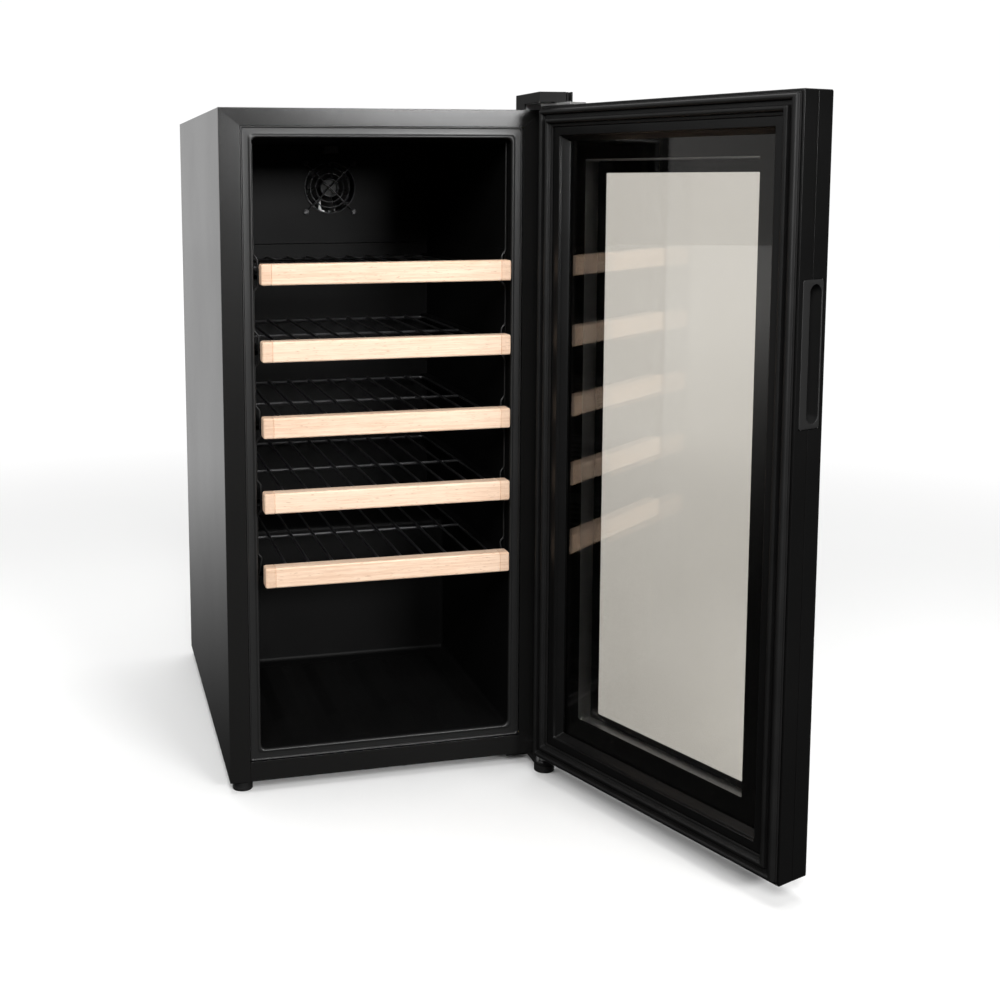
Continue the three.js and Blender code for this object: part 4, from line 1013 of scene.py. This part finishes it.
def buildBackPanel():
    # a pressed sheet: its border sits lower, and the screws stand in it
    low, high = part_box("back_panel")
    sink, border = backSheet["sink"] * mm, backSheet["border"] * mm
    slope, face = backSheet["slope"] * mm, high.y
    section = [
        (0, low.y - sink), (0, face - sink - 0.2 * mm), (0.2 * mm, face - sink), (border, face - sink),
        (border + 0.25 * slope, face - 0.85 * sink), (border + 0.75 * slope, face - 0.15 * sink),
        (border + slope, face)]
    stations = frameStations(low, high, [(a, b, 3 * mm) for a, b in section])
    addPiece(loft(stations, corner=4), "back_sheet", "cabinet", "case", ("back_panel",))
    bm = bmesh.new()
    inset, r = backSheet["screwInset"] * mm, backSheet["screw"]
    head = [(0, 0.55), (r * 0.2, 0.55), (r * 0.35, 0.95), (r * 0.8, 0.8), (r, 0.25), (r, -0.2), (0, -0.2)]

    def spread(start, end, count):
        return [start + inset + i * (end - start - 2 * inset) / (count - 1) for i in range(count)]

    xs, zs = spread(low.x, high.x, backSheet["columns"]), spread(low.z, high.z, backSheet["rows"])
    places = [(x, z) for x in xs for z in zs if x in (xs[0], xs[-1]) or z in (zs[0], zs[-1])]
    for x, z in places:
        turned([(a * mm, -b * mm) for a, b in head], (x, face - sink, z), "Y", 20, bm)
    addPiece(bm, "back_sheet_screws", "cabinet", "zinc")


buildBackPanel()
print("hinges, feet and rear made")


# ---- floor, light and camera ----
def seenRay(f):
    # 1 where the camera looks straight or through clear glass, 0 for light and reflections
    straight = f.node("LightPath", output="Is Camera Ray")
    through = f.node("LightPath", output="Is Transmission Ray")
    bounced = f.node("LightPath", output="Glossy Depth") + f.node("LightPath", output="Diffuse Depth")
    return bounced.work("LESS_THAN", bounced, 0.5) * straight.work("MAXIMUM", straight, through)


floorLook = {
    "near": 0.9, "far": 2.6, "pale": (0.90, 0.90, 0.895), "paler": (0.93, 0.93, 0.925),
    "reflected": 0.02, "reflectedBehind": 0.68,
}


def buildFloor():
    # pale where it is seen, fading to white far off; dim in reflections, so dark parts stay dark
    f = Finish("paleFloor")
    patch = f.noise(1.1, detail=2)
    distance = f.node("VectorMath", {0: f.place()}, output="Value", operation="LENGTH")
    far = distance.above(floorLook["near"], floorLook["far"])
    pale = f.blend(patch, floorLook["pale"], floorLook["paler"])
    f.set(Base_Color=f.blend(far, pale, (0, 0, 0)), Emission_Color=f.blend(far, (0, 0, 0), (1, 1, 1)),
          Emission_Strength=1.0, Roughness=0.6 + patch * 0.1)
    behind = f.node("SeparateXYZ", {"Vector": f.place()}, output="Y").above(-0.1, 2.2)
    glow = floorLook["reflected"] + behind * (floorLook["reflectedBehind"] - floorLook["reflected"])
    dim = f.node("Emission", {"Color": (1, 1, 1), "Strength": glow}, output="Emission")
    lit = Signal(f, f.shader.outputs["BSDF"])
    mixed = f.node("MixShader", {0: seenRay(f), 1: dim, 2: lit}, output="Shader")
    f.feed(f.tree.nodes["Material Output"].inputs["Surface"], mixed)
    bm = bmesh.new()
    bmesh.ops.create_circle(bm, cap_ends=True, segments=96, radius=14)
    mesh = bpy.data.meshes.new("floor")
    bm.to_mesh(mesh)
    bm.free()
    mesh.materials.append(f.material)
    floor = bpy.data.objects.new("floor", mesh)
    bpy.context.scene.collection.objects.link(floor)


softboxes = [
    {"name": "key", "place": (-0.9, -2.8, 2.3), "aim": (-0.1, -0.1, 0.45), "size": (1.6, 1.2), "watts": 78},
    {"name": "right", "place": (0.95, -2.8, 1.20), "aim": (0, 0, 0.85), "size": (1.1, 0.36), "watts": 66},
    {"name": "left", "place": (-2.8, -0.4, 1.9), "aim": (0, 0, 0.6), "size": (1.2, 1.6), "watts": 30},
    {"name": "top", "place": (0.2, 0.4, 3.6), "aim": (0, 0.1, 0), "size": (2.6, 2.6), "watts": 86},
]


def buildLights():
    for box in softboxes:
        data = bpy.data.lights.new(box["name"], "AREA")
        data.shape, data.size, data.size_y, data.energy = "RECTANGLE", *box["size"], box["watts"]
        lamp = bpy.data.objects.new(box["name"], data)
        lamp.location = box["place"]
        lamp.rotation_euler = (Vector(box["aim"]) - Vector(box["place"])).to_track_quat("-Z", "Y").to_euler()
        bpy.context.scene.collection.objects.link(lamp)


def buildWorld():
    # a white sweep behind the object and a dim room in front, white where it is seen
    sky = {"front": 0.02, "back": 0.72, "seen": 1.02}
    world = bpy.data.worlds.new("studio")
    bpy.context.scene.world = world
    world.use_nodes = True
    f = Finish("studio", world.node_tree)
    across = f.node("SeparateXYZ", {"Vector": f.node("TexCoord", output="Generated")}, output="Y")
    glow = sky["front"] + across.above(-0.1, 1.0) * (sky["back"] - sky["front"])
    seen = seenRay(f)
    background = world.node_tree.nodes["Background"]
    f.feed(background.inputs["Strength"], glow * (1 - seen) + seen * sky["seen"])
    background.inputs["Color"].default_value = (1, 1, 1, 1)


view = {
    "place": (-0.379, -1.619, 0.7537), "yaw": 13.76, "pitch": 7.12, "roll": 0.17,
    "lens": 49.54, "shift": (0.10, -0.15),
}


def buildCamera():
    data = bpy.data.cameras.new("camera")
    data.sensor_width, data.lens = 36, view["lens"]
    data.shift_x, data.shift_y = view["shift"]
    camera = bpy.data.objects.new("camera", data)
    bpy.context.scene.collection.objects.link(camera)
    yaw, pitch, roll = (math.radians(view[k]) for k in ("yaw", "pitch", "roll"))
    turn = (Matrix.Rotation(-yaw, 4, "Z") @ Matrix.Rotation(math.pi / 2 - pitch, 4, "X")
            @ Matrix.Rotation(-roll, 4, "Z"))
    origin = Vector((middleX, caseLow.y, 0))
    camera.matrix_world = Matrix.Translation(origin + Vector(view["place"])) @ turn
    bpy.context.scene.camera = camera


buildFloor()
buildLights()
buildWorld()
buildCamera()
bpy.context.scene.view_settings.view_transform = "Standard"
print("stage made")
